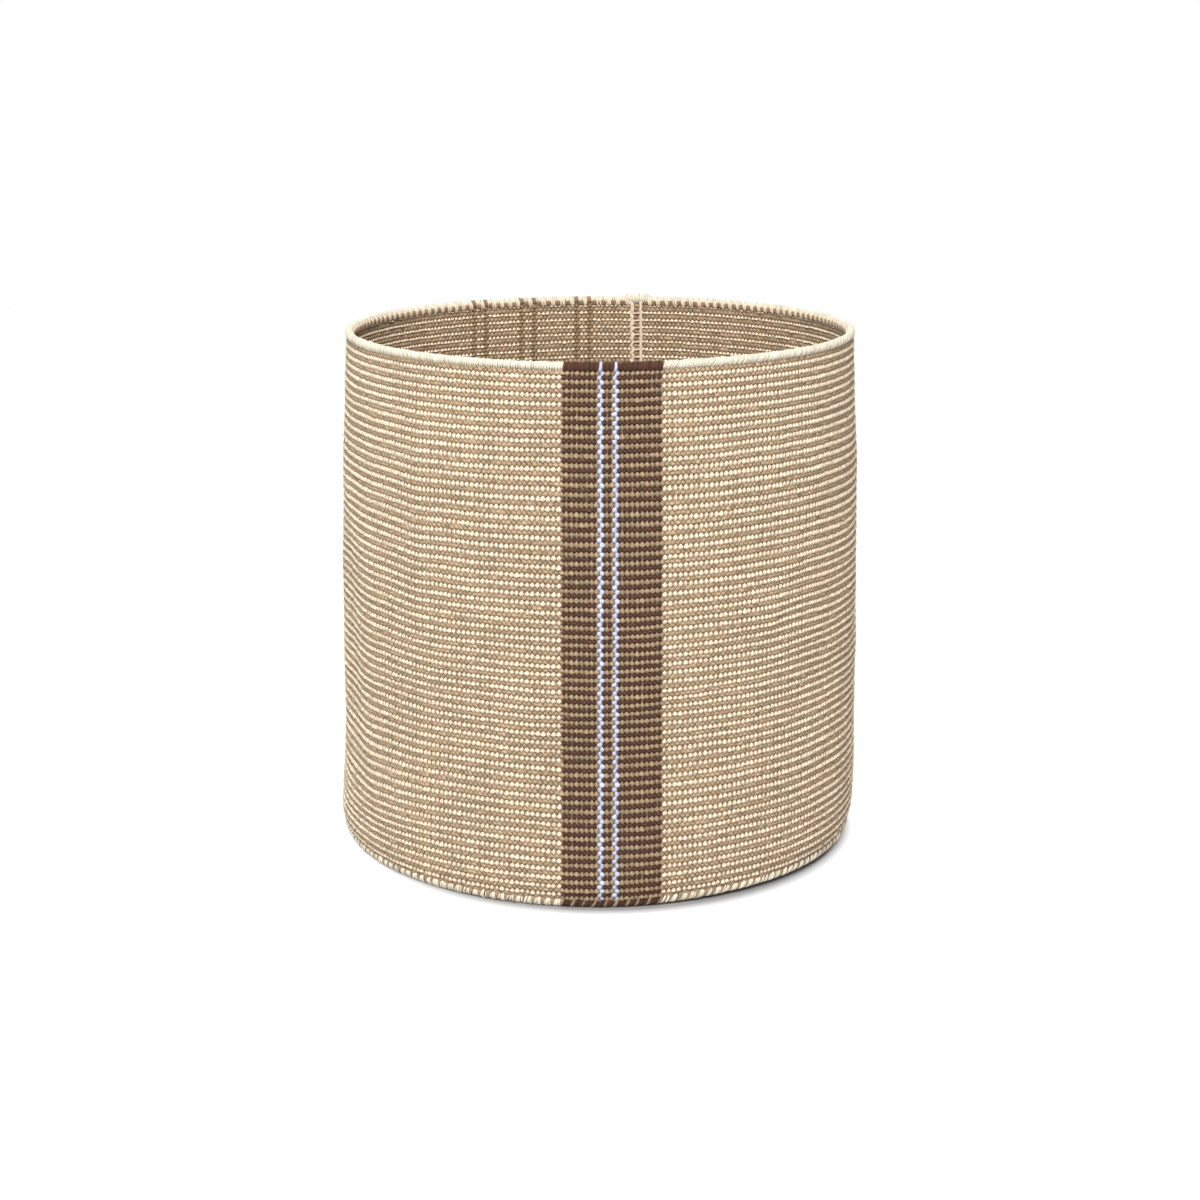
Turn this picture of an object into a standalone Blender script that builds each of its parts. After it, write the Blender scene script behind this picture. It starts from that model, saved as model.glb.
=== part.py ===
"""Round basket of flat-woven cloth: wall, rim, foot, base and laced back seam.

Metres, +Z up. The origin is on the floor under the middle of the base. The front, with the dark
stripe, faces -Y, and places round the basket are angles counted from there towards +X.
"""

import math

import bmesh
import bpy
from mathutils import Matrix

BASKET = "kiondo_basket"

# Cloth of the wall
RIM_RADIUS = 0.1655
BELLY_RADIUS = 0.1745
HEIGHT = 0.338
CLOTH_THICKNESS = 0.0044
FOOT_BEND_RADIUS = 0.036
FOOT_BEND_ANGLE = math.radians(22)

# Rolled edges, the cords inside them and the thread that holds the base
ROLL_PROUD = 0.0004
ROLL_RADIUS = CLOTH_THICKNESS / 2 + ROLL_PROUD
WRAP_THICKNESS = 0.0009
CORD_CLEARANCE = 0.0005
CORD_RADIUS = ROLL_RADIUS - WRAP_THICKNESS - CORD_CLEARANCE
JOIN_PROUD = 0.0009
JOIN_RADIUS = ROLL_RADIUS + JOIN_PROUD
JOIN_WIDTH = 0.022
BASE_EDGE_RADIUS = CLOTH_THICKNESS / 2
THREAD_RADIUS = 0.0008

# Gap kept between pieces that touch, and the distance at which a full turn's ends merge
SEAT_GAP = 0.0003
MERGE_DISTANCE = 0.00001

# Weave: a pair is one weft yarn of each colour, and widths run along the cloth
STRIPE_PAIR_WIDTH = 0.00304
STRIPE_LEFT_OF_FRONT = 0.0225
SEAM_EDGE_WIDTH = 0.0033
LACE_WIDTH = 0.0036
RUNG_RADIUS = 0.0005
ROW_PAIRS = 58
RUNG_LINE_SHARE = 0.5

# Facets
TURN_STEP = math.radians(5)
BEND_STEPS = 4
TUBE_SIDES = 8
RUNG_BEVEL_RESOLUTION = 1
CORD_BEVEL_RESOLUTION = 2

# Runs of like yarn, from the stripe's left edge towards +X: name, pairs of yarns, finish
STRIPE_RUNS = (
    ("stripe_panel_left", 7, "stripe_cloth"),
    ("pale_line_left", 1, "pale_yarn"),
    ("stripe_panel_centre", 2, "stripe_cloth"),
    ("pale_line_right", 1, "pale_yarn"),
    ("stripe_panel_right", 9, "stripe_cloth"),
)
RIGHT_RUNS = (("field_panel_right", 141, "natural_cloth"),)
BACK_RUNS = (
    ("field_panel_back", 9, "natural_cloth"),
    ("tan_line_3b", 1, "tan_yarn"),
    ("field_strip_3", 2, "natural_cloth"),
    ("tan_line_3a", 1, "tan_yarn"),
    ("field_panel_2_to_3", 9, "natural_cloth"),
    ("tan_line_2b", 1, "tan_yarn"),
    ("field_strip_2", 2, "natural_cloth"),
    ("tan_line_2a", 1, "tan_yarn"),
    ("field_panel_1_to_2", 8, "natural_cloth"),
    ("tan_line_1b", 1, "tan_yarn"),
    ("field_strip_1", 2, "natural_cloth"),
    ("tan_line_1a", 1, "tan_yarn"),
    ("field_panel_left", 125, "natural_cloth"),
)
SEAM_RUNS = (
    ("seam_edge_right", SEAM_EDGE_WIDTH, "cream_yarn"),
    ("seam_backing", LACE_WIDTH, "tan_yarn"),
    ("seam_edge_left", SEAM_EDGE_WIDTH, "cream_yarn"),
)

# Finishes: colour as shown on a screen, roughness
SCREEN_GAMMA = 2.2
FINISHES = {
    "natural_cloth": ((0.85, 0.77, 0.65), 0.9),
    "stripe_cloth": ((0.50, 0.38, 0.31), 0.9),
    "pale_yarn": ((0.80, 0.83, 0.93), 0.85),
    "tan_yarn": ((0.71, 0.60, 0.47), 0.9),
    "cream_yarn": ((0.93, 0.89, 0.79), 0.9),
    "dark_yarn": ((0.36, 0.25, 0.22), 0.9),
    "edge_cord": ((0.76, 0.68, 0.56), 0.95),
}

# The finish of the rim's wraps over each finish of the wall
RIM_FINISHES = {
    "natural_cloth": "cream_yarn",
    "stripe_cloth": "dark_yarn",
    "pale_yarn": "pale_yarn",
    "tan_yarn": "tan_yarn",
}

# Sizes that follow from those above
MEAN_RADIUS = (RIM_RADIUS + BELLY_RADIUS) / 2
STRIPE_WIDTH = STRIPE_PAIR_WIDTH * sum(pairs for _, pairs, _ in STRIPE_RUNS)
SEAM_WIDTH = sum(width for _, width, _ in SEAM_RUNS)
FIELD_PAIRS = sum(pairs for _, pairs, _ in RIGHT_RUNS + BACK_RUNS)
FIELD_PAIR_WIDTH = (math.tau * MEAN_RADIUS - STRIPE_WIDTH - SEAM_WIDTH) / FIELD_PAIRS
WALL_TOP = HEIGHT - 2 * ROLL_RADIUS - SEAT_GAP
ROLL_REACH = ROLL_RADIUS + SEAT_GAP
FOOT_EDGE_HEIGHT = (
    ROLL_RADIUS
    + ROLL_REACH * math.cos(FOOT_BEND_ANGLE)
    - CLOTH_THICKNESS / 2 * math.sin(FOOT_BEND_ANGLE)
)
BELLY_HEIGHT = FOOT_EDGE_HEIGHT + FOOT_BEND_RADIUS * math.sin(FOOT_BEND_ANGLE)
BEND_CENTRE_RADIUS = BELLY_RADIUS - FOOT_BEND_RADIUS
LACE_RECESS = 2 * RUNG_RADIUS + SEAT_GAP
EDGE_CENTRE_RADIUS = RIM_RADIUS - CLOTH_THICKNESS / 2


def clear_scene():
    """Removes whatever the scene holds."""
    for old in list(bpy.data.objects):
        bpy.data.objects.remove(old, do_unlink=True)


def linear(channel):
    """The light value of a screen colour's channel."""
    return channel**SCREEN_GAMMA


def make_materials():
    """One Principled material for each finish."""
    made = {}
    for name, (colour, roughness) in FINISHES.items():
        material = bpy.data.materials.new(name)
        material.use_nodes = True
        shader = material.node_tree.nodes["Principled BSDF"]
        shader.inputs["Base Color"].default_value = (*[linear(c) for c in colour], 1)
        shader.inputs["Roughness"].default_value = roughness
        shader.inputs["Metallic"].default_value = 0
        made[name] = material
    return made


def angle_of(length):
    """The turn that a length along the cloth takes, at the wall's mean radius."""
    return length / MEAN_RADIUS


def laid_out():
    """Where each run of the wall lies: name to its start angle, its sweep and its finish."""
    runs = [(name, pairs * STRIPE_PAIR_WIDTH, finish) for name, pairs, finish in STRIPE_RUNS]
    runs += [(name, pairs * FIELD_PAIR_WIDTH, finish) for name, pairs, finish in RIGHT_RUNS]
    runs += SEAM_RUNS
    runs += [(name, pairs * FIELD_PAIR_WIDTH, finish) for name, pairs, finish in BACK_RUNS]
    places, start = {}, -angle_of(STRIPE_LEFT_OF_FRONT)
    for name, width, finish in runs:
        places[name] = (start, angle_of(width), finish)
        start += angle_of(width)
    return places


def wall_profile(depth):
    """The wall's line from top to foot as (radius, height) points, depth inside its outer face."""
    bend = FOOT_BEND_RADIUS - depth
    turns = [FOOT_BEND_ANGLE * i / BEND_STEPS for i in range(BEND_STEPS + 1)]
    curve = [
        (BEND_CENTRE_RADIUS + bend * math.cos(turn), BELLY_HEIGHT - bend * math.sin(turn))
        for turn in turns
    ]
    return [(RIM_RADIUS - depth, WALL_TOP), *curve]


def point_along(points, share):
    """Radius and height of the point at a share of a line's length."""
    lengths = [math.dist(a, b) for a, b in zip(points, points[1:])]
    left = share * sum(lengths)
    for a, b, length in zip(points, points[1:], lengths):
        if left <= length or b is points[-1]:
            along = left / length
            return a[0] + (b[0] - a[0]) * along, a[1] + (b[1] - a[1]) * along
        left -= length


def foot_roll_centre():
    """Radius and height of the foot roll's middle, square to the cloth's lower edge."""
    radius, _ = wall_profile(CLOTH_THICKNESS / 2)[-1]
    return radius - ROLL_REACH * math.sin(FOOT_BEND_ANGLE), ROLL_RADIUS


def nestled(left, left_radius, right, right_radius, radius):
    """Middle of a round cord lying on two others with the seat gap, all seen end on."""
    to_left = left_radius + SEAT_GAP + radius
    to_right = right_radius + SEAT_GAP + radius
    apart = math.dist(left, right)
    across, rise = (right[0] - left[0]) / apart, (right[1] - left[1]) / apart
    along = (to_left**2 - to_right**2 + apart**2) / (2 * apart)
    up = math.sqrt(to_left**2 - along**2)
    return left[0] + across * along - rise * up, left[1] + rise * along + across * up


def add_object(name, data, material, collection, axis, turn=0.0):
    """Puts data in the collection as an object on the basket's axis, turned from the front."""
    piece = bpy.data.objects.new(name, data)
    data.materials.append(material)
    collection.objects.link(piece)
    piece.rotation_euler.z = turn - math.pi / 2
    piece.parent = axis
    return piece


def profile_mesh(name, points, closed):
    """A line of (radius, height) points beside the axis, as a mesh of edges."""
    mesh = bpy.data.meshes.new(name)
    edges = [(i, i + 1) for i in range(len(points) - 1)]
    if closed:
        edges.append((len(points) - 1, 0))
    mesh.from_pydata([(radius, 0, height) for radius, height in points], edges, [])
    return mesh


def round_profile(centre, radius):
    """Points round a tube's section, down its outer side and up its inner side."""
    turns = [math.pi / 2 - math.tau * i / TUBE_SIDES for i in range(TUBE_SIDES)]
    return [
        (centre[0] + radius * math.cos(turn), centre[1] + radius * math.sin(turn))
        for turn in turns
    ]


def steps_in(sweep):
    """How many flat facets a sweep is made of."""
    return max(1, round(sweep / TURN_STEP))


def trimmed(start, sweep, thickness):
    """A sweep cut back at both ends to keep the seat gap.

    A thickened sweep's inner end corners stand out by the thickness times the sine of half a
    facet's turn, so that is left free too.
    """
    lean = thickness * math.sin(sweep / steps_in(sweep) / 2)
    trim = (SEAT_GAP / 2 + lean) / MEAN_RADIUS
    return start + trim, sweep - 2 * trim


def turn_profile(piece, sweep):
    """Sweeps a profile round the axis with a Screw modifier."""
    screw = piece.modifiers.new("sweep", "SCREW")
    screw.axis = "Z"
    screw.angle = sweep
    screw.steps = screw.render_steps = steps_in(sweep)
    screw.use_merge_vertices = math.isclose(sweep, math.tau)
    screw.merge_threshold = MERGE_DISTANCE
    screw.use_smooth_shade = True


def thicken(piece, thickness):
    """Gives a swept surface its thickness, inwards from the outer face."""
    solid = piece.modifiers.new("thickness", "SOLIDIFY")
    solid.thickness = thickness
    solid.offset = -1
    solid.use_even_offset = True


def cloth_band(name, start, sweep, depth, material, collection, axis):
    """One run of the wall's cloth, set back by depth on both faces."""
    start, sweep = trimmed(start, sweep, CLOTH_THICKNESS)
    mesh = profile_mesh(name, wall_profile(depth), closed=False)
    piece = add_object(name, mesh, material, collection, axis, start)
    turn_profile(piece, sweep)
    thicken(piece, CLOTH_THICKNESS - 2 * depth)


def roll_segment(name, start, sweep, centre, radius, material, collection, axis):
    """A stretch of wrapped edge: a tube of wraps with room for its cord."""
    start, sweep = trimmed(start, sweep, WRAP_THICKNESS)
    mesh = profile_mesh(name, round_profile(centre, radius), closed=True)
    piece = add_object(name, mesh, material, collection, axis, start)
    turn_profile(piece, sweep)
    thicken(piece, WRAP_THICKNESS)


def solid_ring(name, centre, radius, material, collection, axis):
    """A round cord laid in a closed ring."""
    mesh = profile_mesh(name, round_profile(centre, radius), closed=True)
    piece = add_object(name, mesh, material, collection, axis)
    turn_profile(piece, math.tau)


def open_ring(name, start, centre, radius, material, collection, axis):
    """A round cord laid in a ring whose two cut ends meet at the start angle."""
    trim = SEAT_GAP / MEAN_RADIUS
    count = round(math.tau / TURN_STEP)
    curve = bpy.data.curves.new(name, "CURVE")
    curve.dimensions = "3D"
    curve.bevel_depth = radius
    curve.bevel_resolution = CORD_BEVEL_RESOLUTION
    curve.use_fill_caps = True
    line = curve.splines.new("POLY")
    line.points.add(count)
    for i, point in enumerate(line.points):
        turn = trim / 2 + (math.tau - trim) * i / count
        point.co = (centre[0] * math.cos(turn), centre[0] * math.sin(turn), centre[1], 1)
    add_object(name, curve, material, collection, axis, start)


def make_wall(places, materials, collection, axis):
    """The runs of cloth, with the strip behind the lacing set back on both faces."""
    for name, (start, sweep, finish) in places.items():
        depth = LACE_RECESS if name == "seam_backing" else 0
        cloth_band(name, start, sweep, depth, materials[finish], collection, axis)


def lacing_cord(name, depth, places, material, collection, axis):
    """The cord that runs to and fro between the wall's two edges on one face, a rung to a row."""
    start, sweep, _ = places["seam_backing"]
    line = wall_profile(depth)
    curve = bpy.data.curves.new(name, "CURVE")
    curve.dimensions = "3D"
    curve.bevel_depth = RUNG_RADIUS
    curve.bevel_resolution = RUNG_BEVEL_RESOLUTION
    curve.use_fill_caps = True
    cord = curve.splines.new("POLY")
    cord.points.add(2 * ROW_PAIRS - 1)
    for i, point in enumerate(cord.points):
        radius, height = point_along(line, (i // 2 + RUNG_LINE_SHARE) / ROW_PAIRS)
        reach = radius * math.tan(sweep / 2) - SEAT_GAP - RUNG_RADIUS
        side = 1 if (i + 1) // 2 % 2 else -1
        point.co = (radius, side * reach, height, 1)
    add_object(name, curve, material, collection, axis, start + sweep / 2)


def make_lacing(places, materials, collection, axis):
    """The lacing that draws the two edges of the wall together, on both faces."""
    for name, depth in (
        ("seam_lacing_outside", RUNG_RADIUS),
        ("seam_lacing_inside", CLOTH_THICKNESS - RUNG_RADIUS),
    ):
        lacing_cord(name, depth, places, materials["cream_yarn"], collection, axis)


def make_rim(places, seam, materials, collection, axis):
    """The wrapped top edge: its cord, its wraps over each run and the join at the seam."""
    centre = (EDGE_CENTRE_RADIUS, WALL_TOP + ROLL_REACH)
    join = angle_of(JOIN_WIDTH)
    seam_names = [name for name, _, _ in SEAM_RUNS]
    for name, (start, sweep, finish) in places.items():
        if name in seam_names:
            continue
        end = start + sweep
        if name == "field_panel_right":
            end = seam - join / 2
        elif name == "field_panel_back":
            start = seam + join / 2
        roll_segment(
            "rim_over_" + name,
            start,
            end - start,
            centre,
            ROLL_RADIUS,
            materials[RIM_FINISHES[finish]],
            collection,
            axis,
        )
    join_centre = (EDGE_CENTRE_RADIUS, WALL_TOP + SEAT_GAP + JOIN_RADIUS)
    cream = materials["cream_yarn"]
    roll_segment("rim_join", seam - join / 2, join, join_centre, JOIN_RADIUS, cream, collection, axis)
    open_ring("rim_cord", seam, centre, CORD_RADIUS, materials["edge_cord"], collection, axis)


def make_foot(places, seam, materials, collection, axis):
    """The wrapped lower edge, in two natural halves and a dark stretch under the stripe."""
    centre = foot_roll_centre()
    stripe_start = places["stripe_panel_left"][0]
    stripe_end = places["field_panel_right"][0]
    stretches = (
        ("foot_roll_stripe", stripe_start, stripe_end, "dark_yarn"),
        ("foot_roll_right", stripe_end, seam, "cream_yarn"),
        ("foot_roll_left", seam, stripe_start + math.tau, "cream_yarn"),
    )
    for name, start, end, finish in stretches:
        roll_segment(
            name, start, end - start, centre, ROLL_RADIUS, materials[finish], collection, axis
        )
    open_ring("foot_cord", seam, centre, CORD_RADIUS, materials["edge_cord"], collection, axis)


def make_base(materials, collection, axis):
    """The woven disc, the cord round its edge and the thread that ties it to the foot."""
    foot = foot_roll_centre()
    edge = (foot[0] - ROLL_REACH - BASE_EDGE_RADIUS, BASE_EDGE_RADIUS)
    thread = nestled(edge, BASE_EDGE_RADIUS, foot, ROLL_RADIUS, THREAD_RADIUS)
    solid_ring("base_edge_cord", edge, BASE_EDGE_RADIUS, materials["edge_cord"], collection, axis)
    solid_ring("base_thread", thread, THREAD_RADIUS, materials["cream_yarn"], collection, axis)
    radius = edge[0] - BASE_EDGE_RADIUS - SEAT_GAP
    disc = bmesh.new()
    bmesh.ops.create_cone(
        disc,
        cap_ends=True,
        segments=round(math.tau / TURN_STEP),
        radius1=radius,
        radius2=radius,
        depth=CLOTH_THICKNESS,
        matrix=Matrix.Translation((0, 0, CLOTH_THICKNESS / 2)),
    )
    mesh = bpy.data.meshes.new("base_panel")
    disc.to_mesh(mesh)
    disc.free()
    add_object("base_panel", mesh, materials["natural_cloth"], collection, axis)


def main():
    """Builds the basket."""
    clear_scene()
    collection = bpy.data.collections.new(BASKET)
    bpy.context.scene.collection.children.link(collection)
    axis = bpy.data.objects.new("basket_axis", None)
    collection.objects.link(axis)
    materials = make_materials()
    places = laid_out()
    start, sweep, _ = places["seam_backing"]
    seam = start + sweep / 2
    make_wall(places, materials, collection, axis)
    make_lacing(places, materials, collection, axis)
    make_rim(places, seam, materials, collection, axis)
    make_foot(places, seam, materials, collection, axis)
    make_base(materials, collection, axis)


main()
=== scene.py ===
"""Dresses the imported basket: weft yarns, warp cords, edge wraps, stitches, floor, light and camera."""

import logging
import math
from dataclasses import dataclass, field
from enum import Enum

import bpy
import numpy as np
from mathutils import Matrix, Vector


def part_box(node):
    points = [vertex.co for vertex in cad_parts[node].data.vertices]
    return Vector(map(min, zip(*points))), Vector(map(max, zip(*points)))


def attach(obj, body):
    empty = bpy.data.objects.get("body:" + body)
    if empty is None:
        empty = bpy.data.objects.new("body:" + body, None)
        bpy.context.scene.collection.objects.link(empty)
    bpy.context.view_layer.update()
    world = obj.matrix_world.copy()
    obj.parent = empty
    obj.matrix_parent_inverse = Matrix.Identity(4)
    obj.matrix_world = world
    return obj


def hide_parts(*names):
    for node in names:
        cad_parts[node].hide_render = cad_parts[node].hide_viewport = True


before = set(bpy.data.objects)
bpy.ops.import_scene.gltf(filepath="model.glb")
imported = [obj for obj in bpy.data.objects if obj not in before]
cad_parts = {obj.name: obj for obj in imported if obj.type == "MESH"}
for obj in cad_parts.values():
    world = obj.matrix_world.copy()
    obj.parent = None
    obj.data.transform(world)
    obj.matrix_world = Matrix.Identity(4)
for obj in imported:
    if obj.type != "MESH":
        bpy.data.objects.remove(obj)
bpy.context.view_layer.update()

LOG = logging.getLogger("basket")
MM = 0.001
TURN = 2.0 * math.pi
BODY = "root"

Colour = tuple[float, float, float, float]
Triple = tuple[float, float, float]
Socket = bpy.types.NodeSocket
Amount = np.ndarray | float


class Yarn(Enum):
    """The yarns that the basket is made of."""

    CREAM = "cream"
    TAN = "tan"
    LINE_TAN = "line_tan"
    DARK = "dark"
    STRIPE_TAN = "stripe_tan"
    PALE = "pale"
    # The rim's own cream, made darker as painted shade against the strong light on the rim's top.
    EDGE_CREAM = "edge_cream"
    # A lighter copy of the edge cream for the foot: painted light, since the foot gets less light.
    FOOT_CREAM = "foot_cream"
    WARP = "warp"


class Face(Enum):
    """The two faces of the wall cloth."""

    OUTSIDE = 1.0
    INSIDE = -1.0


class Axis(Enum):
    """The axes of the frame."""

    X = 0
    Y = 1
    Z = 2


def linear(red: int, green: int, blue: int) -> Colour:
    """Turns display values from 0 to 255 into a linear colour.

    Args:
        red: Display value of red.
        green: Display value of green.
        blue: Display value of blue.

    Returns:
        The colour as red, green, blue and 1.
    """
    knee, slope, shift, power, full = 0.04045, 12.92, 0.055, 2.4, 255.0
    parts = []
    for share in (red / full, green / full, blue / full):
        parts.append(share / slope if share <= knee else ((share + shift) / (1.0 + shift)) ** power)
    return parts[0], parts[1], parts[2], 1.0


def smooth_noise(places: np.ndarray, seed: int, waves: int = 5) -> np.ndarray:
    """Gives a smooth random wave from -1 to 1, the same on each run.

    Args:
        places: Where the wave is read, in units in which it turns about once.
        seed: Chooses the wave.
        waves: How many sines it is made of.

    Returns:
        The wave's height at each place.
    """
    slowest, fastest, usual_peak = 0.4, 1.7, 0.62
    draw = np.random.default_rng(seed)
    rates = draw.uniform(slowest, fastest, waves)
    starts = draw.uniform(0.0, TURN, waves)
    total = sum(np.sin(TURN * rate * places + start) for rate, start in zip(rates, starts))
    return total / (usual_peak * waves)


def bell(places: np.ndarray, middle: float, width: float) -> np.ndarray:
    """Gives a smooth bump of height 1.

    Args:
        places: Where the bump is read.
        middle: The place of its top.
        width: Distance from the top at which it has fallen to about a third.

    Returns:
        The bump's height at each place.
    """
    return np.exp(-(((places - middle) / width) ** 2))


def ring_points(radius: Amount, angle: np.ndarray, height: Amount) -> np.ndarray:
    """Turns places round the basket into points, or outward and upward parts into vectors.

    Args:
        radius: Distances from the basket's axis, or outward parts.
        angle: Angles round the basket in radians, from the front towards the right.
        height: Heights, or upward parts.

    Returns:
        The points or vectors.
    """
    parts = np.broadcast_arrays(radius * np.sin(angle), -radius * np.cos(angle), height)
    return np.stack(parts, axis=-1)


def along_ring(angle: np.ndarray) -> np.ndarray:
    """Gives the level unit vectors that point round the basket at the given angles."""
    return np.stack([np.cos(angle), np.sin(angle), np.zeros_like(angle)], axis=-1)


def along_axis(axis: Axis, like: np.ndarray) -> np.ndarray:
    """Gives unit vectors along one axis of the frame.

    Args:
        axis: The axis.
        like: Points, one for each vector wanted.

    Returns:
        The vectors.
    """
    vectors = np.zeros_like(like)
    vectors[..., axis.value] = 1.0
    return vectors


def tube_tones(draw: np.random.Generator, spread: float, shape: tuple[int, ...]) -> np.ndarray:
    """Draws a lightness for each tube.

    Args:
        draw: Gives the random values.
        spread: How much the tubes differ.
        shape: Number of tubes and of rings.

    Returns:
        The lightness of each ring, from 0 to 1.
    """
    return np.clip(0.5 + spread * draw.normal(0.0, 1.0, (shape[0], 1)) * np.ones(shape), 0.0, 1.0)


def node_points(node: str) -> np.ndarray:
    """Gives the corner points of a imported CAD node."""
    return np.array([corner.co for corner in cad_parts[node].data.vertices])


def node_angles(node: str) -> tuple[float, float]:
    """Measures the angles at which a packed band starts and ends.

    Args:
        node: Name of the band's CAD node.

    Returns:
        Start and end in radians, from the front towards the right.
    """
    places = node_points(node)
    angles = np.sort(np.arctan2(places[:, 0], -places[:, 1]))
    gaps = np.diff(np.concatenate([angles, angles[:1] + TURN]))
    widest = int(np.argmax(gaps))
    start, end = angles[(widest + 1) % len(angles)], angles[widest]
    if end < start:
        end += TURN
    return float(start), float(end)


def link_object(name: str, data: bpy.types.ID) -> bpy.types.Object:
    """Puts a new object in the scene.

    Args:
        name: Its name.
        data: Its mesh, camera or lamp.

    Returns:
        The object.
    """
    made = bpy.data.objects.new(name, data)
    bpy.context.scene.collection.objects.link(made)
    return made


@dataclass(frozen=True)
class WallSection:
    """The middle of the wall cloth as a line of radius and height, from the rim down to the foot."""

    top: float
    rim_radius: float
    belly_radius: float
    belly_height: float = 17.95 * MM
    thickness: float = 4.4 * MM
    bend_radius: float = 36.0 * MM
    bend_angle: float = math.radians(22.0)

    @classmethod
    def from_frame(cls, node: str) -> "WallSection":
        """Reads the wall's top, rim and belly from a packed band of cloth.

        Args:
            node: Name of the band's CAD node.

        Returns:
            The section of the wall.
        """
        top_slice = 0.5 * MM
        places = node_points(node)
        radii = np.hypot(places[:, 0], places[:, 1])
        top = float(places[:, 2].max())
        near_top = places[:, 2] > top - top_slice
        half = cls.thickness / 2.0
        return cls(top, float(radii[near_top].max()) - half, float(radii.max()) - half)

    @property
    def slope_length(self) -> float:
        """Length of the straight part from the rim to the belly."""
        return math.hypot(self.belly_radius - self.rim_radius, self.top - self.belly_height)

    @property
    def arc_radius(self) -> float:
        """Radius of the foot's bend at the middle of the cloth."""
        return self.bend_radius - self.thickness / 2.0

    @property
    def length(self) -> float:
        """Length of the whole line."""
        return self.slope_length + self.arc_radius * self.bend_angle

    def at(self, down: np.ndarray) -> tuple[np.ndarray, np.ndarray, np.ndarray, np.ndarray]:
        """Gives the places on the line.

        Args:
            down: Distances along the line from the rim; beyond its ends the line goes straight on.

        Returns:
            Radius and height of each place, and the two parts of its outward normal.
        """
        slope_r = (self.belly_radius - self.rim_radius) / self.slope_length
        slope_z = (self.belly_height - self.top) / self.slope_length
        bend = np.clip((down - self.slope_length) / self.arc_radius, 0.0, self.bend_angle)
        past = np.maximum(down - self.length, 0.0)
        straight = np.minimum(down, self.slope_length)
        radius = self.rim_radius + slope_r * straight
        height = self.top + slope_z * straight
        radius = radius - self.arc_radius * (1.0 - np.cos(bend)) - past * np.sin(bend)
        height = height - self.arc_radius * np.sin(bend) - past * np.cos(bend)
        on_arc = bend > 0.0
        normal_r = np.where(on_arc, np.cos(bend), -slope_z)
        normal_z = np.where(on_arc, -np.sin(bend), slope_r)
        return radius, height, normal_r, normal_z


@dataclass(frozen=True)
class Fold:
    """One soft dent or swelling of the wall, or one place where its rows are drawn up or down."""

    angle: float
    spread: float
    depth: float
    middle: float
    reach: float
    lean: float = 0.0

    def shift(self, angle: np.ndarray, share: np.ndarray) -> np.ndarray:
        """Gives how far the wall moves.

        Args:
            angle: Angles round the wall in degrees, from the front towards the right.
            share: Places down the wall, 0 at the rim and 1 at the foot.

        Returns:
            The move at each place, in metres.
        """
        turned = (angle - self.angle - self.lean * (share - self.middle) + 180.0) % 360.0 - 180.0
        return self.depth * bell(turned, 0.0, self.spread) * bell(share, self.middle, self.reach)


def small_folds(count: int, seed: int) -> tuple[Fold, ...]:
    """Draws the small dents and swellings that cover the whole wall.

    Args:
        count: How many there are.
        seed: Chooses them.

    Returns:
        The folds.
    """
    angles, spreads, depth = (-180.0, 180.0), (3.0, 7.0), 0.55 * MM
    middles, reaches, leans = (0.02, 0.98), (0.03, 0.09), (-60.0, 60.0)
    draw = np.random.default_rng(seed)
    columns = [draw.uniform(*angles, count), draw.uniform(*spreads, count), draw.normal(0.0, depth, count)]
    columns += [draw.uniform(*limits, count) for limits in (middles, reaches, leans)]
    return tuple(Fold(*map(float, one)) for one in zip(*columns))


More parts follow.
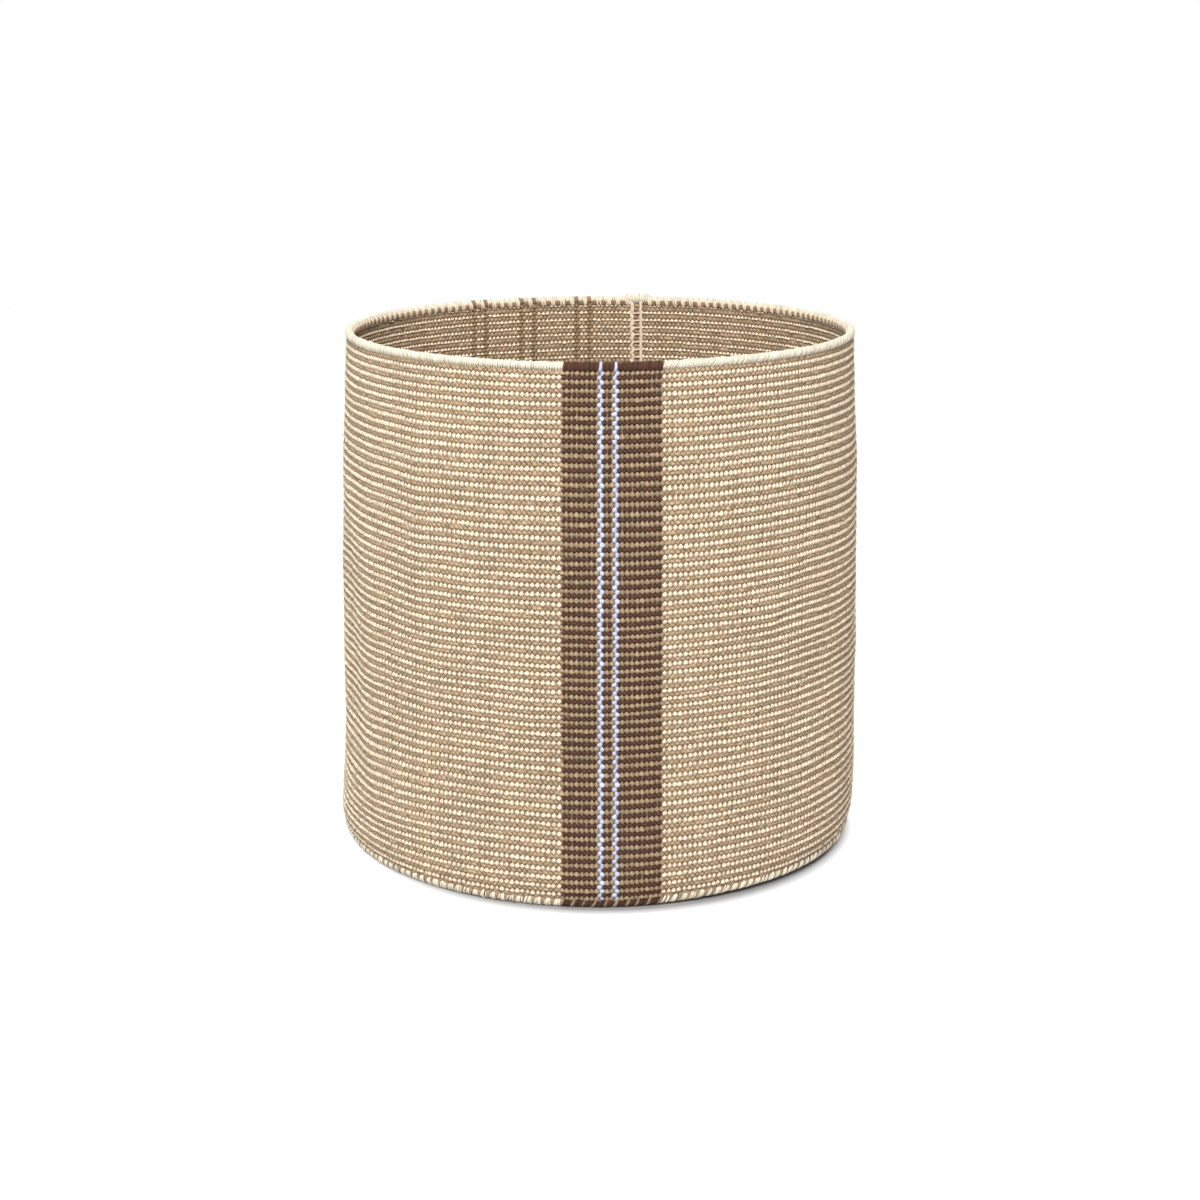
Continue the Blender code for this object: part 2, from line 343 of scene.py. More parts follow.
@dataclass(frozen=True)
class Drape:
    """How the soft wall departs from its even shape: dents, lifted rows and uneven beating of the rows.

    Each wave of the rows has its turns round the wall, its turns down it and its weight.
    """

    folds: tuple[Fold, ...] = (
        Fold(-70.0, 6.0, -1.7 * MM, 0.66, 0.34, 14.0),
        Fold(-80.0, 6.0, 1.1 * MM, 0.55, 0.40, -10.0),
        Fold(-58.0, 8.0, 1.2 * MM, 0.60, 0.35, 12.0),
        Fold(-41.0, 5.0, 0.9 * MM, 0.30, 0.16, 8.0),
        Fold(-24.0, 8.0, -0.8 * MM, 0.62, 0.20, -10.0),
        Fold(33.0, 3.6, -1.0 * MM, 0.08, 0.12, 10.0),
        Fold(39.0, 3.6, 0.9 * MM, 0.13, 0.14, -14.0),
        Fold(45.0, 4.0, -1.0 * MM, 0.17, 0.16, -14.0),
        Fold(28.0, 9.0, 0.9 * MM, 0.50, 0.25, 6.0),
        Fold(56.0, 9.0, -1.1 * MM, 0.60, 0.30, -8.0),
        Fold(74.0, 9.0, 1.2 * MM, 0.50, 0.35),
        Fold(118.0, 14.0, -1.8 * MM, 0.50, 0.35),
        Fold(150.0, 12.0, 1.2 * MM, 0.45, 0.40),
        Fold(-128.0, 15.0, -1.6 * MM, 0.55, 0.35),
        Fold(-100.0, 10.0, 1.2 * MM, 0.45, 0.40),
        *small_folds(230, 41),
    )
    lifts: tuple[Fold, ...] = (
        Fold(-80.0, 30.0, 4.0 * MM, 0.45, 0.22),
        Fold(-66.0, 22.0, -5.0 * MM, 0.87, 0.15),
        Fold(-41.0, 4.0, -0.9 * MM, 0.33, 0.25),
        Fold(-52.0, 4.0, 0.8 * MM, 0.60, 0.25),
        Fold(50.0, 6.0, 0.8 * MM, 0.50, 0.20),
    )
    beat: tuple[float, ...] = (
        5.35, 5.45, 5.7, 6.05, 6.1, 5.8, 5.65, 5.5, 5.4, 5.4, 5.6, 6.05, 5.95, 5.6, 5.45,
    )
    beat_steps: int = 400
    wander: float = 0.45 * MM
    waves: tuple[Triple, ...] = ((4.0, 0.35, 1.0), (17.0, 1.9, 0.4), (6.0, 9.0, 0.6))
    wave_seed: int = 5
    swell: float = 1.3 * MM
    swell_middle: float = 0.27
    swell_reach: float = 0.3
    fold_hold: float = 7.0
    lift_hold: float = 9.0

    @staticmethod
    def hold(share: np.ndarray, steepness: float) -> np.ndarray:
        """Gives a factor that is 1 on most of the wall and fades to 0 at the rim and the foot."""
        return np.clip(share * (1.0 - share) * steepness, 0.0, 1.0)

    def outward(self, angle: np.ndarray, share: np.ndarray) -> np.ndarray:
        """Sums the folds.

        Args:
            angle: Angles round the wall in radians.
            share: Places down the wall, 0 at the rim and 1 at the foot.

        Returns:
            The outward move at each place, in metres.
        """
        turned = np.degrees(angle)
        total = sum(one.shift(turned, share) for one in self.folds)
        total = total + self.swell * bell(share, self.swell_middle, self.swell_reach)
        return total * self.hold(share, self.fold_hold)

    def row_lift(self, angle: np.ndarray, share: np.ndarray) -> np.ndarray:
        """Gives how far the rows are drawn up the wall, by the lifts and by waves round and down it.

        Args:
            angle: Angles round the wall in radians.
            share: Places down the wall, 0 at the rim and 1 at the foot.

        Returns:
            The upward move at each place, in metres.
        """
        total = sum(one.shift(np.degrees(angle), share) for one in self.lifts)
        for number, (around, down, weight) in enumerate(self.waves):
            places = angle * around / TURN + down * share
            total = total + smooth_noise(places, self.wave_seed + number) * self.wander * weight
        return self.hold(share, self.lift_hold) * total

    def row_places(self, rows: np.ndarray, row_count: int) -> np.ndarray:
        """Spaces the rows as unevenly as the weaver beat them.

        Args:
            rows: Row numbers, with fractions, from 0 at the rim.
            row_count: How many rows the wall has.

        Returns:
            Shares of the way down the wall.
        """
        knots = np.linspace(0.0, row_count, self.beat_steps)
        widths = np.interp(knots / row_count, np.linspace(0.0, 1.0, len(self.beat)), self.beat)
        gone = np.concatenate([[0.0], np.cumsum((widths[1:] + widths[:-1]) / 2.0)])
        on_wall = np.clip(rows, 0.0, row_count)
        return np.interp(on_wall, knots, gone / gone[-1]) + (rows - on_wall) / row_count


@dataclass
class Wall:
    """The curved sheet on which the yarns lie."""

    section: WallSection
    drape: Drape = field(default_factory=Drape)
    rows: int = 117

    def place(self, angle: np.ndarray, row: np.ndarray, out: Amount) -> tuple[np.ndarray, np.ndarray]:
        """Finds points on or beside the wall's middle.

        Args:
            angle: Angles round the basket in radians, from the front towards the right.
            row: Row numbers, with fractions, from 0 at the rim.
            out: Distances outwards from the middle of the cloth, in metres.

        Returns:
            The points, and the outward unit vectors there.
        """
        share = self.drape.row_places(row, self.rows)
        on_wall = np.clip(share, 0.0, 1.0)
        down = share * self.section.length - self.drape.row_lift(angle, on_wall)
        radius, height, normal_r, normal_z = self.section.at(down)
        radius = radius + self.drape.outward(angle, on_wall) + normal_r * out
        return ring_points(radius, angle, height + normal_z * out), ring_points(normal_r, angle, normal_z)


@dataclass(frozen=True)
class Stand:
    """How the soft basket stands: its right side a little higher, its foot a little further left."""

    rise: float = 2.3 * MM
    rise_reach: float = 0.33
    top_share: float = 0.35
    left_rise: float = 0.3 * MM
    foot_drift: float = -2.4 * MM
    drift_reach: float = 0.1
    radius: float = 171.0 * MM
    height: float = 338.0 * MM

    def settle(self, points: np.ndarray) -> np.ndarray:
        """Moves points of the even basket to where they are on the standing one.

        Args:
            points: Points of the even basket.

        Returns:
            The moved points.
        """
        side = points[:, 0] / self.radius
        high = points[:, 2] / self.height
        right = self.rise * (1.0 - bell(side, 0.0, self.rise_reach)) * (1.0 + (self.top_share - 1.0) * high)
        left = self.left_rise * side**2 * high
        moved = points.copy()
        moved[:, 0] += self.foot_drift * side**2 * bell(high, 0.0, self.drift_reach)
        moved[:, 2] = np.maximum(moved[:, 2] + np.where(side > 0.0, right, left), 0.0)
        return moved


STAND = Stand()


@dataclass
class Tubes:
    """A batch of tubes with the same number of rings and sides."""

    points: np.ndarray
    faces: np.ndarray
    sides: int
    rows: int
    closed: bool
    flipped: bool
    tone: np.ndarray
    ring_step: float


class YarnMesh:
    """Gathers tubes of yarn and turns them into one mesh with two maps and a tone for each point."""

    STRIP_FILL = 0.96
    PLY_LENGTH = 5.5 * MM

    def __init__(self, name: str) -> None:
        """Starts without tubes, for an object of this name."""
        self.name = name
        self.batches: list[Tubes] = []

    def add(
        self, centres: np.ndarray, across: np.ndarray, outward: np.ndarray, half_width: Amount,
        half_depth: Amount, sides: int = 6, closed: bool = False, tone: Amount = 0.5,
        ring_step: float = 1.1 * MM,
    ) -> None:
        """Adds tubes with oval sections.

        Args:
            centres: Middle of each ring, by tube and ring.
            across: Unit vectors of each section's width.
            outward: Unit vectors of each section's depth.
            half_width: Half the width of each section.
            half_depth: Half the depth of each section.
            sides: Number of sides round a section.
            closed: True where the last ring joins the first.
            tone: Lightness from 0 to 1 of each ring.
            ring_step: Length of yarn from ring to ring.
        """
        count, rings = centres.shape[:2]
        turn = np.arange(sides) * TURN / sides
        half_width, half_depth, tones = (
            np.broadcast_to(value, (count, rings)) for value in (half_width, half_depth, tone)
        )
        wide = half_width[..., None, None] * np.cos(turn)[:, None] * across[:, :, None, :]
        deep = half_depth[..., None, None] * np.sin(turn)[:, None] * outward[:, :, None, :]
        run = np.roll(centres, -1, axis=1) - centres
        facing = np.sum(np.cross(across, outward)[:, :-1] * run[:, :-1])
        number = np.arange(rings * sides).reshape(rings, sides)
        low = number if closed else number[:-1]
        high = np.roll(number, -1, axis=0) if closed else number[1:]
        quads = np.stack([low, np.roll(low, -1, axis=1), np.roll(high, -1, axis=1), high], axis=-1)
        quads = quads.reshape(-1, 4)
        points = (centres[:, :, None, :] + wide + deep).reshape(count, rings * sides, 3)
        tones = np.repeat(tones, sides, axis=1)
        if not closed:
            first = np.full(sides, rings * sides)
            last = first + 1
            start = np.stack([first, np.roll(number[0], -1), number[0], first], axis=-1)
            end = np.stack([number[-1], np.roll(number[-1], -1), last, last], axis=-1)
            quads = np.concatenate([start, quads, end])
            points = np.concatenate([points, centres[:, :1], centres[:, -1:]], axis=1)
            tones = np.concatenate([tones, tones[:, :1], tones[:, -1:]], axis=1)
        flipped = bool(facing < 0.0)
        if flipped:
            quads = quads[:, ::-1]
        rows = rings if closed else rings + 1
        self.batches.append(Tubes(points, quads, sides, rows, closed, flipped, tones, ring_step))

    def pack_strips(self) -> tuple[list[np.ndarray], int, int]:
        """Finds a place in the bake map for the strip of each tube.

        Returns:
            The column and first row of each tube by batch, the number of columns, and their height.
        """
        strips = [(b.rows + 1, i, k) for i, b in enumerate(self.batches) for k in range(len(b.points))]
        strips.sort(key=lambda strip: -strip[0])
        widest = max(b.sides for b in self.batches)
        total = sum(strip[0] for strip in strips)
        height = max(strips[0][0], math.ceil(math.sqrt(total * widest)))
        used: list[int] = []
        places = [np.zeros((len(b.points), 2), int) for b in self.batches]
        first_open = 0
        for rows, batch, tube in strips:
            column = next((c for c in range(first_open, len(used)) if used[c] + rows <= height), len(used))
            if column == len(used):
                used.append(0)
            places[batch][tube] = column, used[column]
            used[column] += rows
            while first_open < len(used) and used[first_open] + strips[-1][0] > height:
                first_open += 1
        return places, len(used), height

    def maps(
        self, batch: Tubes, place: np.ndarray, columns: int, height: int
    ) -> tuple[np.ndarray, np.ndarray]:
        """Makes both maps of one batch.

        Args:
            batch: The tubes.
            place: Column and first row of each tube's strip.
            columns: Number of columns in the bake map.
            height: Number of rows in a column.

        Returns:
            The bake map and the yarn map, by tube, face and corner.
        """
        sides, rows = batch.sides, batch.rows
        side = np.tile(np.arange(sides), rows)
        u = side[:, None] + np.array([0.0, 1.0, 1.0, 0.0])
        v = np.repeat(np.arange(rows), sides)[:, None] + np.array([0.0, 0.0, 1.0, 1.0])
        if not batch.closed:
            u[:sides] = side[:sides, None] + np.array([0.5, 1.0, 0.0, 0.5])
            v[:sides] = np.array([0.0, 1.0, 1.0, 0.0])
            u[-sides:, 2:] = side[:sides, None] + 0.5
        if batch.flipped:
            u, v = u[:, ::-1], v[:, ::-1]
        bake_u = (place[:, 0, None, None] + u / sides * self.STRIP_FILL) / columns
        bake_v = (place[:, 1, None, None] + v) / height
        yarn_u = np.broadcast_to(u / sides, bake_u.shape)
        yarn_v = np.broadcast_to(v * batch.ring_step / self.PLY_LENGTH, bake_v.shape)
        return np.stack([bake_u, bake_v], axis=-1), np.stack([yarn_u, yarn_v], axis=-1)

    def build(self) -> bpy.types.Object:
        """Makes the object.

        Returns:
            The new object, linked to the scene.
        """
        places, columns, height = self.pack_strips()
        points, corners, sizes, bake, yarn, tones = [], [], [], [], [], []
        offset = 0
        for batch, place in zip(self.batches, places):
            count, each = batch.points.shape[:2]
            faces = batch.faces[None] + (offset + each * np.arange(count))[:, None, None]
            bake_map, yarn_map = self.maps(batch, place, columns, height)
            keep = batch.faces != np.roll(batch.faces, 1, axis=1)
            wide_keep = np.broadcast_to(keep, faces.shape)
            corners.append(faces[wide_keep])
            bake.append(bake_map[wide_keep])
            yarn.append(yarn_map[wide_keep])
            sizes.append(np.tile(keep.sum(axis=1), count))
            points.append(batch.points.reshape(-1, 3))
            tones.append(batch.tone.reshape(-1))
            offset += count * each
        all_points, all_corners = STAND.settle(np.concatenate(points)), np.concatenate(corners)
        all_sizes = np.concatenate(sizes)
        starts = np.concatenate([[0], np.cumsum(all_sizes)[:-1]])
        mesh = bpy.data.meshes.new(self.name)
        mesh.vertices.add(len(all_points))
        mesh.vertices.foreach_set("co", all_points.astype(np.float32).ravel())
        mesh.loops.add(len(all_corners))
        mesh.loops.foreach_set("vertex_index", all_corners.astype(np.int32))
        mesh.polygons.add(len(all_sizes))
        mesh.polygons.foreach_set("loop_start", starts.astype(np.int32))
        mesh.update(calc_edges=True)
        mesh.polygons.foreach_set("use_smooth", np.ones(len(all_sizes), bool))
        for map_name, values in (("OFBake", bake), ("yarn", yarn)):
            layer = mesh.uv_layers.new(name=map_name)
            layer.uv.foreach_set("vector", np.concatenate(values).astype(np.float32).ravel())
        tone = mesh.attributes.new("tone", "FLOAT", "POINT")
        tone.data.foreach_set("value", np.concatenate(tones).astype(np.float32))
        return link_object(self.name, mesh)


@dataclass
class Nodes:
    """Adds nodes to one node tree."""

    tree: bpy.types.NodeTree

    def new(self, kind: str, **settings: object) -> bpy.types.Node:
        """Adds a node.

        Args:
            kind: Its type, without the common start.
            **settings: Its own properties.

        Returns:
            The node.
        """
        node = self.tree.nodes.new(f"ShaderNode{kind}")
        for name, value in settings.items():
            setattr(node, name, value)
        return node

    def feed(self, node: bpy.types.Node, inputs: dict[str | int, object]) -> bpy.types.NodeOutputs:
        """Links or sets inputs of a node.

        Args:
            node: The node.
            inputs: A socket or a value for each input.

        Returns:
            The node's outputs.
        """
        for name, value in inputs.items():
            if isinstance(value, Socket):
                self.tree.links.new(value, node.inputs[name])
            else:
                node.inputs[name].default_value = value
        return node.outputs

    def maths(self, operation: str, first: Socket, second: Socket | float = 0.0) -> Socket:
        """Adds a Math node and gives its output."""
        return self.feed(self.new("Math", operation=operation), {0: first, 1: second})["Value"]

    def noise(self, places: Socket, scale: float, detail: float) -> Socket:
        """Adds a Noise Texture node and gives its factor."""
        return self.feed(self.new("TexNoise"), {"Scale": scale, "Detail": detail, "Vector": places})["Fac"]

    def mix(self, share: Socket, first: Socket | Colour, second: Socket | Colour) -> Socket:
        """Adds a node that mixes two colours and gives its result."""
        inputs = {"Factor": share, "A": first, "B": second}
        return self.feed(self.new("Mix", data_type="RGBA"), inputs)["Result"]

    def spread(self, value: Socket, low: float, high: float, to_low: float, to_high: float) -> Socket:
        """Adds a Map Range node.

        Args:
            value: The socket that it reads.
            low: Value that becomes to_low.
            high: Value that becomes to_high.
            to_low: Lower end of the result.
            to_high: Upper end of the result.

        Returns:
            The node's output.
        """
        ends = {"From Min": low, "From Max": high, "To Min": to_low, "To Max": to_high}
        return self.feed(self.new("MapRange"), {"Value": value, **ends})["Result"]

    def seen(self) -> Socket:
        """Adds nodes that say if a ray comes from the camera, a mirror or glass.

        Returns:
            A socket that is 1 for such a ray and else 0.
        """
        path = self.new("LightPath").outputs
        both = self.maths("MAXIMUM", path["Is Camera Ray"], path["Is Glossy Ray"])
        return self.maths("MAXIMUM", both, path["Is Transmission Ray"])


@dataclass(frozen=True)
class YarnFinish:
    """The look of one yarn: its colour, painted shade in the grooves between its plies, its flecks, fibres
    and clouds.
    """

    name: str
    colour: Colour
    # Colour of the painted shade in the grooves between the plies.
    groove_shade: Colour
    fleck: Colour
    fleck_share: float = 0.0
    tone_range: float = 0.16
    rough_low: float = 0.82
    rough_high: float = 0.97
    sheen: float = 0.06
    specular: float = 0.25
    fibre_scale: float = 1500.0
    fibre_low: float = 0.84
    fibre_high: float = 1.08
    fibre_detail: float = 3.0
    fibre_height: float = 0.6
    plies: int = 2
    # Width on the ply wave of the painted shade between plies, and how far it darkens the colour.
    groove_shade_width: float = 0.35
    groove_shade_strength: float = 0.45
    cloud_scale: float = 26.0
    cloud_detail: float = 2.0
    cloud_low: float = 0.95
    cloud_high: float = 1.04
    fleck_scale: float = 260.0
    fleck_detail: float = 1.0
    fleck_edge: float = 0.74
    fleck_growth: float = 0.24
    fleck_softness: float = 0.05
    noise_low: float = 0.3
    noise_high: float = 0.7
    bump: float = 0.35
    bump_depth: float = 0.12 * MM

    def material(self) -> bpy.types.Material:
        """Builds the yarn's node material.

        Returns:
            The material.
        """
        material = bpy.data.materials.new(self.name)
        material.use_nodes = True
        material.diffuse_color = self.colour
        nodes = Nodes(material.node_tree)
        places = nodes.new("TexCoord").outputs["Object"]
        fibres = nodes.noise(places, self.fibre_scale, self.fibre_detail)
        clouds = nodes.noise(places, self.cloud_scale, self.cloud_detail)
        flecks = nodes.noise(places, self.fleck_scale, self.fleck_detail)
        ply = self.ply(nodes)

        tone = nodes.new("Attribute", attribute_name="tone").outputs["Fac"]
        shade = nodes.spread(tone, 0.0, 1.0, 1.0 - self.tone_range, 1.0 + self.tone_range / 2.0)
        shade_fibre = nodes.spread(fibres, self.noise_low, self.noise_high, self.fibre_low, self.fibre_high)
        shade_cloud = nodes.spread(clouds, self.noise_low, self.noise_high, self.cloud_low, self.cloud_high)
        shade = nodes.maths("MULTIPLY", shade, shade_fibre)
        shade = nodes.maths("MULTIPLY", shade, shade_cloud)

        # Painted shade: where two plies meet, the colour darkens towards the shade colour of the grooves.
        groove_shade_share = nodes.spread(ply, 0.0, self.groove_shade_width, self.groove_shade_strength, 0.0)
        groove_shaded = nodes.mix(groove_shade_share, self.colour, self.groove_shade)
        edge = self.fleck_edge - self.fleck_growth * self.fleck_share
        most = min(1.0, self.fleck_share * 2.0)
        fleck_share = nodes.spread(flecks, edge, edge + self.fleck_softness, 0.0, most)
        flecked = nodes.mix(fleck_share, groove_shaded, self.fleck)
        shaded = nodes.feed(nodes.new("VectorMath", operation="SCALE"), {"Vector": flecked, "Scale": shade})

        rough = nodes.spread(fibres, self.noise_low, self.noise_high, self.rough_low, self.rough_high)
        height = nodes.maths("ADD", nodes.maths("MULTIPLY", fibres, self.fibre_height), ply)
        relief = {"Strength": self.bump, "Distance": self.bump_depth, "Height": height}
        bump = nodes.feed(nodes.new("Bump"), relief)
        surface = material.node_tree.nodes["Principled BSDF"]
        surface.inputs["Base Color"].default_value = self.colour
        nodes.feed(surface, {"Sheen Weight": self.sheen, "Specular IOR Level": self.specular})
        nodes.feed(surface, {"Base Color": shaded["Vector"], "Roughness": rough, "Normal": bump["Normal"]})
        return material

    def ply(self, nodes: Nodes) -> Socket:
        """Adds the wave of the twisted plies, which reads the yarn map.

        Args:
            nodes: Adds to the material's nodes.

        Returns:
            A socket that is 0 where two plies meet and 1 on top of each; it drives the bump and the painted
            shade in the grooves.
        """
        yarn_map = nodes.new("UVMap", uv_map="yarn").outputs["UV"]
        split = nodes.feed(nodes.new("SeparateXYZ"), {"Vector": yarn_map})
        turned = nodes.maths("MULTIPLY", split["X"], float(self.plies))
        phase = nodes.maths("ADD", turned, split["Y"])
        wave = nodes.maths("SINE", nodes.maths("MULTIPLY", phase, TURN))
        return nodes.spread(wave, -1.0, 1.0, 0.0, 1.0)


# The second colour of each finish is painted shade for the grooves between its plies.
FINISHES = {
    Yarn.CREAM: YarnFinish(
        "cream_cotton", linear(244, 224, 199), linear(210, 186, 152), linear(224, 200, 158), 0.1, sheen=0.02
    ),
    Yarn.TAN: YarnFinish(
        "tan_jute", linear(185, 160, 129), linear(136, 112, 82), linear(172, 136, 104), 0.3, 0.3,
        sheen=0.02, fibre_scale=900.0, fibre_low=0.68, fibre_high=1.18, bump=0.5,
    ),
    Yarn.LINE_TAN: YarnFinish(
        "line_tan_cotton", linear(164, 138, 106), linear(122, 97, 72), linear(140, 104, 74), 0.2, 0.25,
        bump=0.5,
    ),
    Yarn.DARK: YarnFinish(
        "dark_cotton", linear(93, 61, 48), linear(58, 36, 27), linear(120, 86, 66), 0.12, 0.3, sheen=0.02
    ),
    Yarn.STRIPE_TAN: YarnFinish(
        "stripe_tan_jute", linear(171, 147, 117), linear(136, 113, 86), linear(156, 122, 90), 0.3, 0.25,
        fibre_low=0.72, fibre_high=1.15, bump=0.5,
    ),
    Yarn.PALE: YarnFinish(
        "pale_cotton", linear(207, 211, 231), linear(178, 183, 210), linear(196, 200, 224), 0.1
    ),
    # The rim's own cream, made darker as painted shade against the strong light on the rim's top.
    Yarn.EDGE_CREAM: YarnFinish(
        "edge_cream_cotton", linear(238, 228, 209), linear(202, 186, 160), linear(222, 205, 176), 0.1, 0.2
    ),
    # A lighter copy of the edge cream for the foot: painted light, since the foot gets less light.
    Yarn.FOOT_CREAM: YarnFinish(
        "foot_cream_cotton", linear(255, 245, 226), linear(226, 208, 178), linear(236, 218, 188), 0.1, 0.2
    ),
    Yarn.WARP: YarnFinish(
        "undyed_cord", linear(196, 172, 140), linear(150, 124, 94), linear(170, 140, 104), 0.2, 0.2
    ),
}


class Workshop:
    """Keeps the materials; builds each piece, gives it its yarn, hangs it on the body and hides the CAD nodes
    that it replaces.
    """

    def __init__(self) -> None:
        """Makes every yarn's material once."""
        self.materials = {yarn: finish.material() for yarn, finish in FINISHES.items()}
        self.triangles = 0

    def hand_in(self, mesh: YarnMesh, yarn: Yarn, nodes: list[str]) -> None:
        """Builds a piece, gives it its yarn and says what it stands for.

        Args:
            mesh: The tubes of the piece.
            yarn: The yarn that they are made of.
            nodes: The CAD nodes that the piece replaces.
        """
        piece = mesh.build()
        piece.data.materials.append(self.materials[yarn])
        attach(piece, BODY)
        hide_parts(*nodes)
        faces = len(piece.data.polygons)
        self.triangles += len(piece.data.loops) - 2 * faces
        LOG.info("%s: %d faces, in place of %s", piece.name, faces, ", ".join(nodes))


@dataclass(frozen=True)
class Run:
    """One run of like weft pairs round the wall."""

    node: str
    pairs: int
    yarns: tuple[Yarn, Yarn]


@dataclass
class PlacedRun:
    """A run with its angles."""

    run: Run
    start: float
    end: float

    @property
    def angle(self) -> float:
        """Angle that the run takes up."""
        return self.end - self.start

    @property
    def pair_angle(self) -> float:
        """Angle that one pair takes up."""
        return self.angle / self.run.pairs

    @property
    def is_plain(self) -> bool:
        """True for a run of one yarn."""
        return self.run.yarns[0] is self.run.yarns[1]

    @property
    def rim_node(self) -> str | None:
        """Name of the CAD node of the rim over the run, or None where the join takes its place."""
        node = f"rim_over_{self.run.node}"
        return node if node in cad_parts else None


FIELD = (Yarn.CREAM, Yarn.TAN)
STRIPE = (Yarn.DARK, Yarn.STRIPE_TAN)
PALE = (Yarn.PALE, Yarn.PALE)
LINE = (Yarn.LINE_TAN, Yarn.LINE_TAN)
EDGE = (Yarn.CREAM, Yarn.CREAM)
BACK = (Yarn.TAN, Yarn.TAN)

RUNS = (
    Run("stripe_panel_left", 7, STRIPE),
    Run("pale_line_left", 1, PALE),
    Run("stripe_panel_centre", 2, STRIPE),
    Run("pale_line_right", 1, PALE),
    Run("stripe_panel_right", 9, STRIPE),
    Run("field_panel_right", 141, FIELD),
    Run("seam_edge_right", 1, EDGE),
    Run("seam_backing", 1, BACK),
    Run("seam_edge_left", 1, EDGE),
    Run("field_panel_back", 9, FIELD),
    Run("tan_line_3b", 1, LINE),
    Run("field_strip_3", 2, FIELD),
    Run("tan_line_3a", 1, LINE),
    Run("field_panel_2_to_3", 9, FIELD),
    Run("tan_line_2b", 1, LINE),
    Run("field_strip_2", 2, FIELD),
    Run("tan_line_2a", 1, LINE),
    Run("field_panel_1_to_2", 8, FIELD),
    Run("tan_line_1b", 1, LINE),
    Run("field_strip_1", 2, FIELD),
    Run("tan_line_1a", 1, LINE),
    Run("field_panel_left", 125, FIELD),
)


def place_runs() -> list[PlacedRun]:
    """Reads where each run lies from its packed band.

    Returns:
        The runs in order round the basket, each ending where the next begins.
    """
    starts = []
    turned = 0.0
    for start, _ in [node_angles(run.node) for run in RUNS]:
        while start + turned < (starts[-1] if starts else start):
            turned += TURN
        starts.append(start + turned)
    starts.append(starts[0] + TURN)
    return [PlacedRun(run, starts[i], starts[i + 1]) for i, run in enumerate(RUNS)]


@dataclass(frozen=True)
class Bead:
    """The shape of a yarn where it shows: width and relief against the usual, start of its crown, its neck.

    The stretch is how far its rows reach into those of its partner yarn, as a share of a row. The saddle is
    half its depth where it changes faces. The join draws it there to its neighbour, as a share of a pair.
    """

    width: float
    relief: float
    shoulder: float
    neck: float
    stretch: float = 0.0
    saddle: float = 1.55 * MM
    join: float = 0.0


BEADS = {
    Yarn.CREAM: Bead(1.0, 1.05, 0.4, 0.82, 0.11),
    Yarn.TAN: Bead(1.14, 0.84, 0.3, 1.3),
    Yarn.LINE_TAN: Bead(1.12, 0.95, 0.33, 1.15),
    Yarn.DARK: Bead(1.05, 0.87, 0.36, 1.0, -0.14),
    Yarn.STRIPE_TAN: Bead(1.06, 1.12, 0.38, 0.85),
    Yarn.PALE: Bead(1.02, 0.9, 0.2, 1.6, 0.0, 1.85 * MM, 0.13),
}


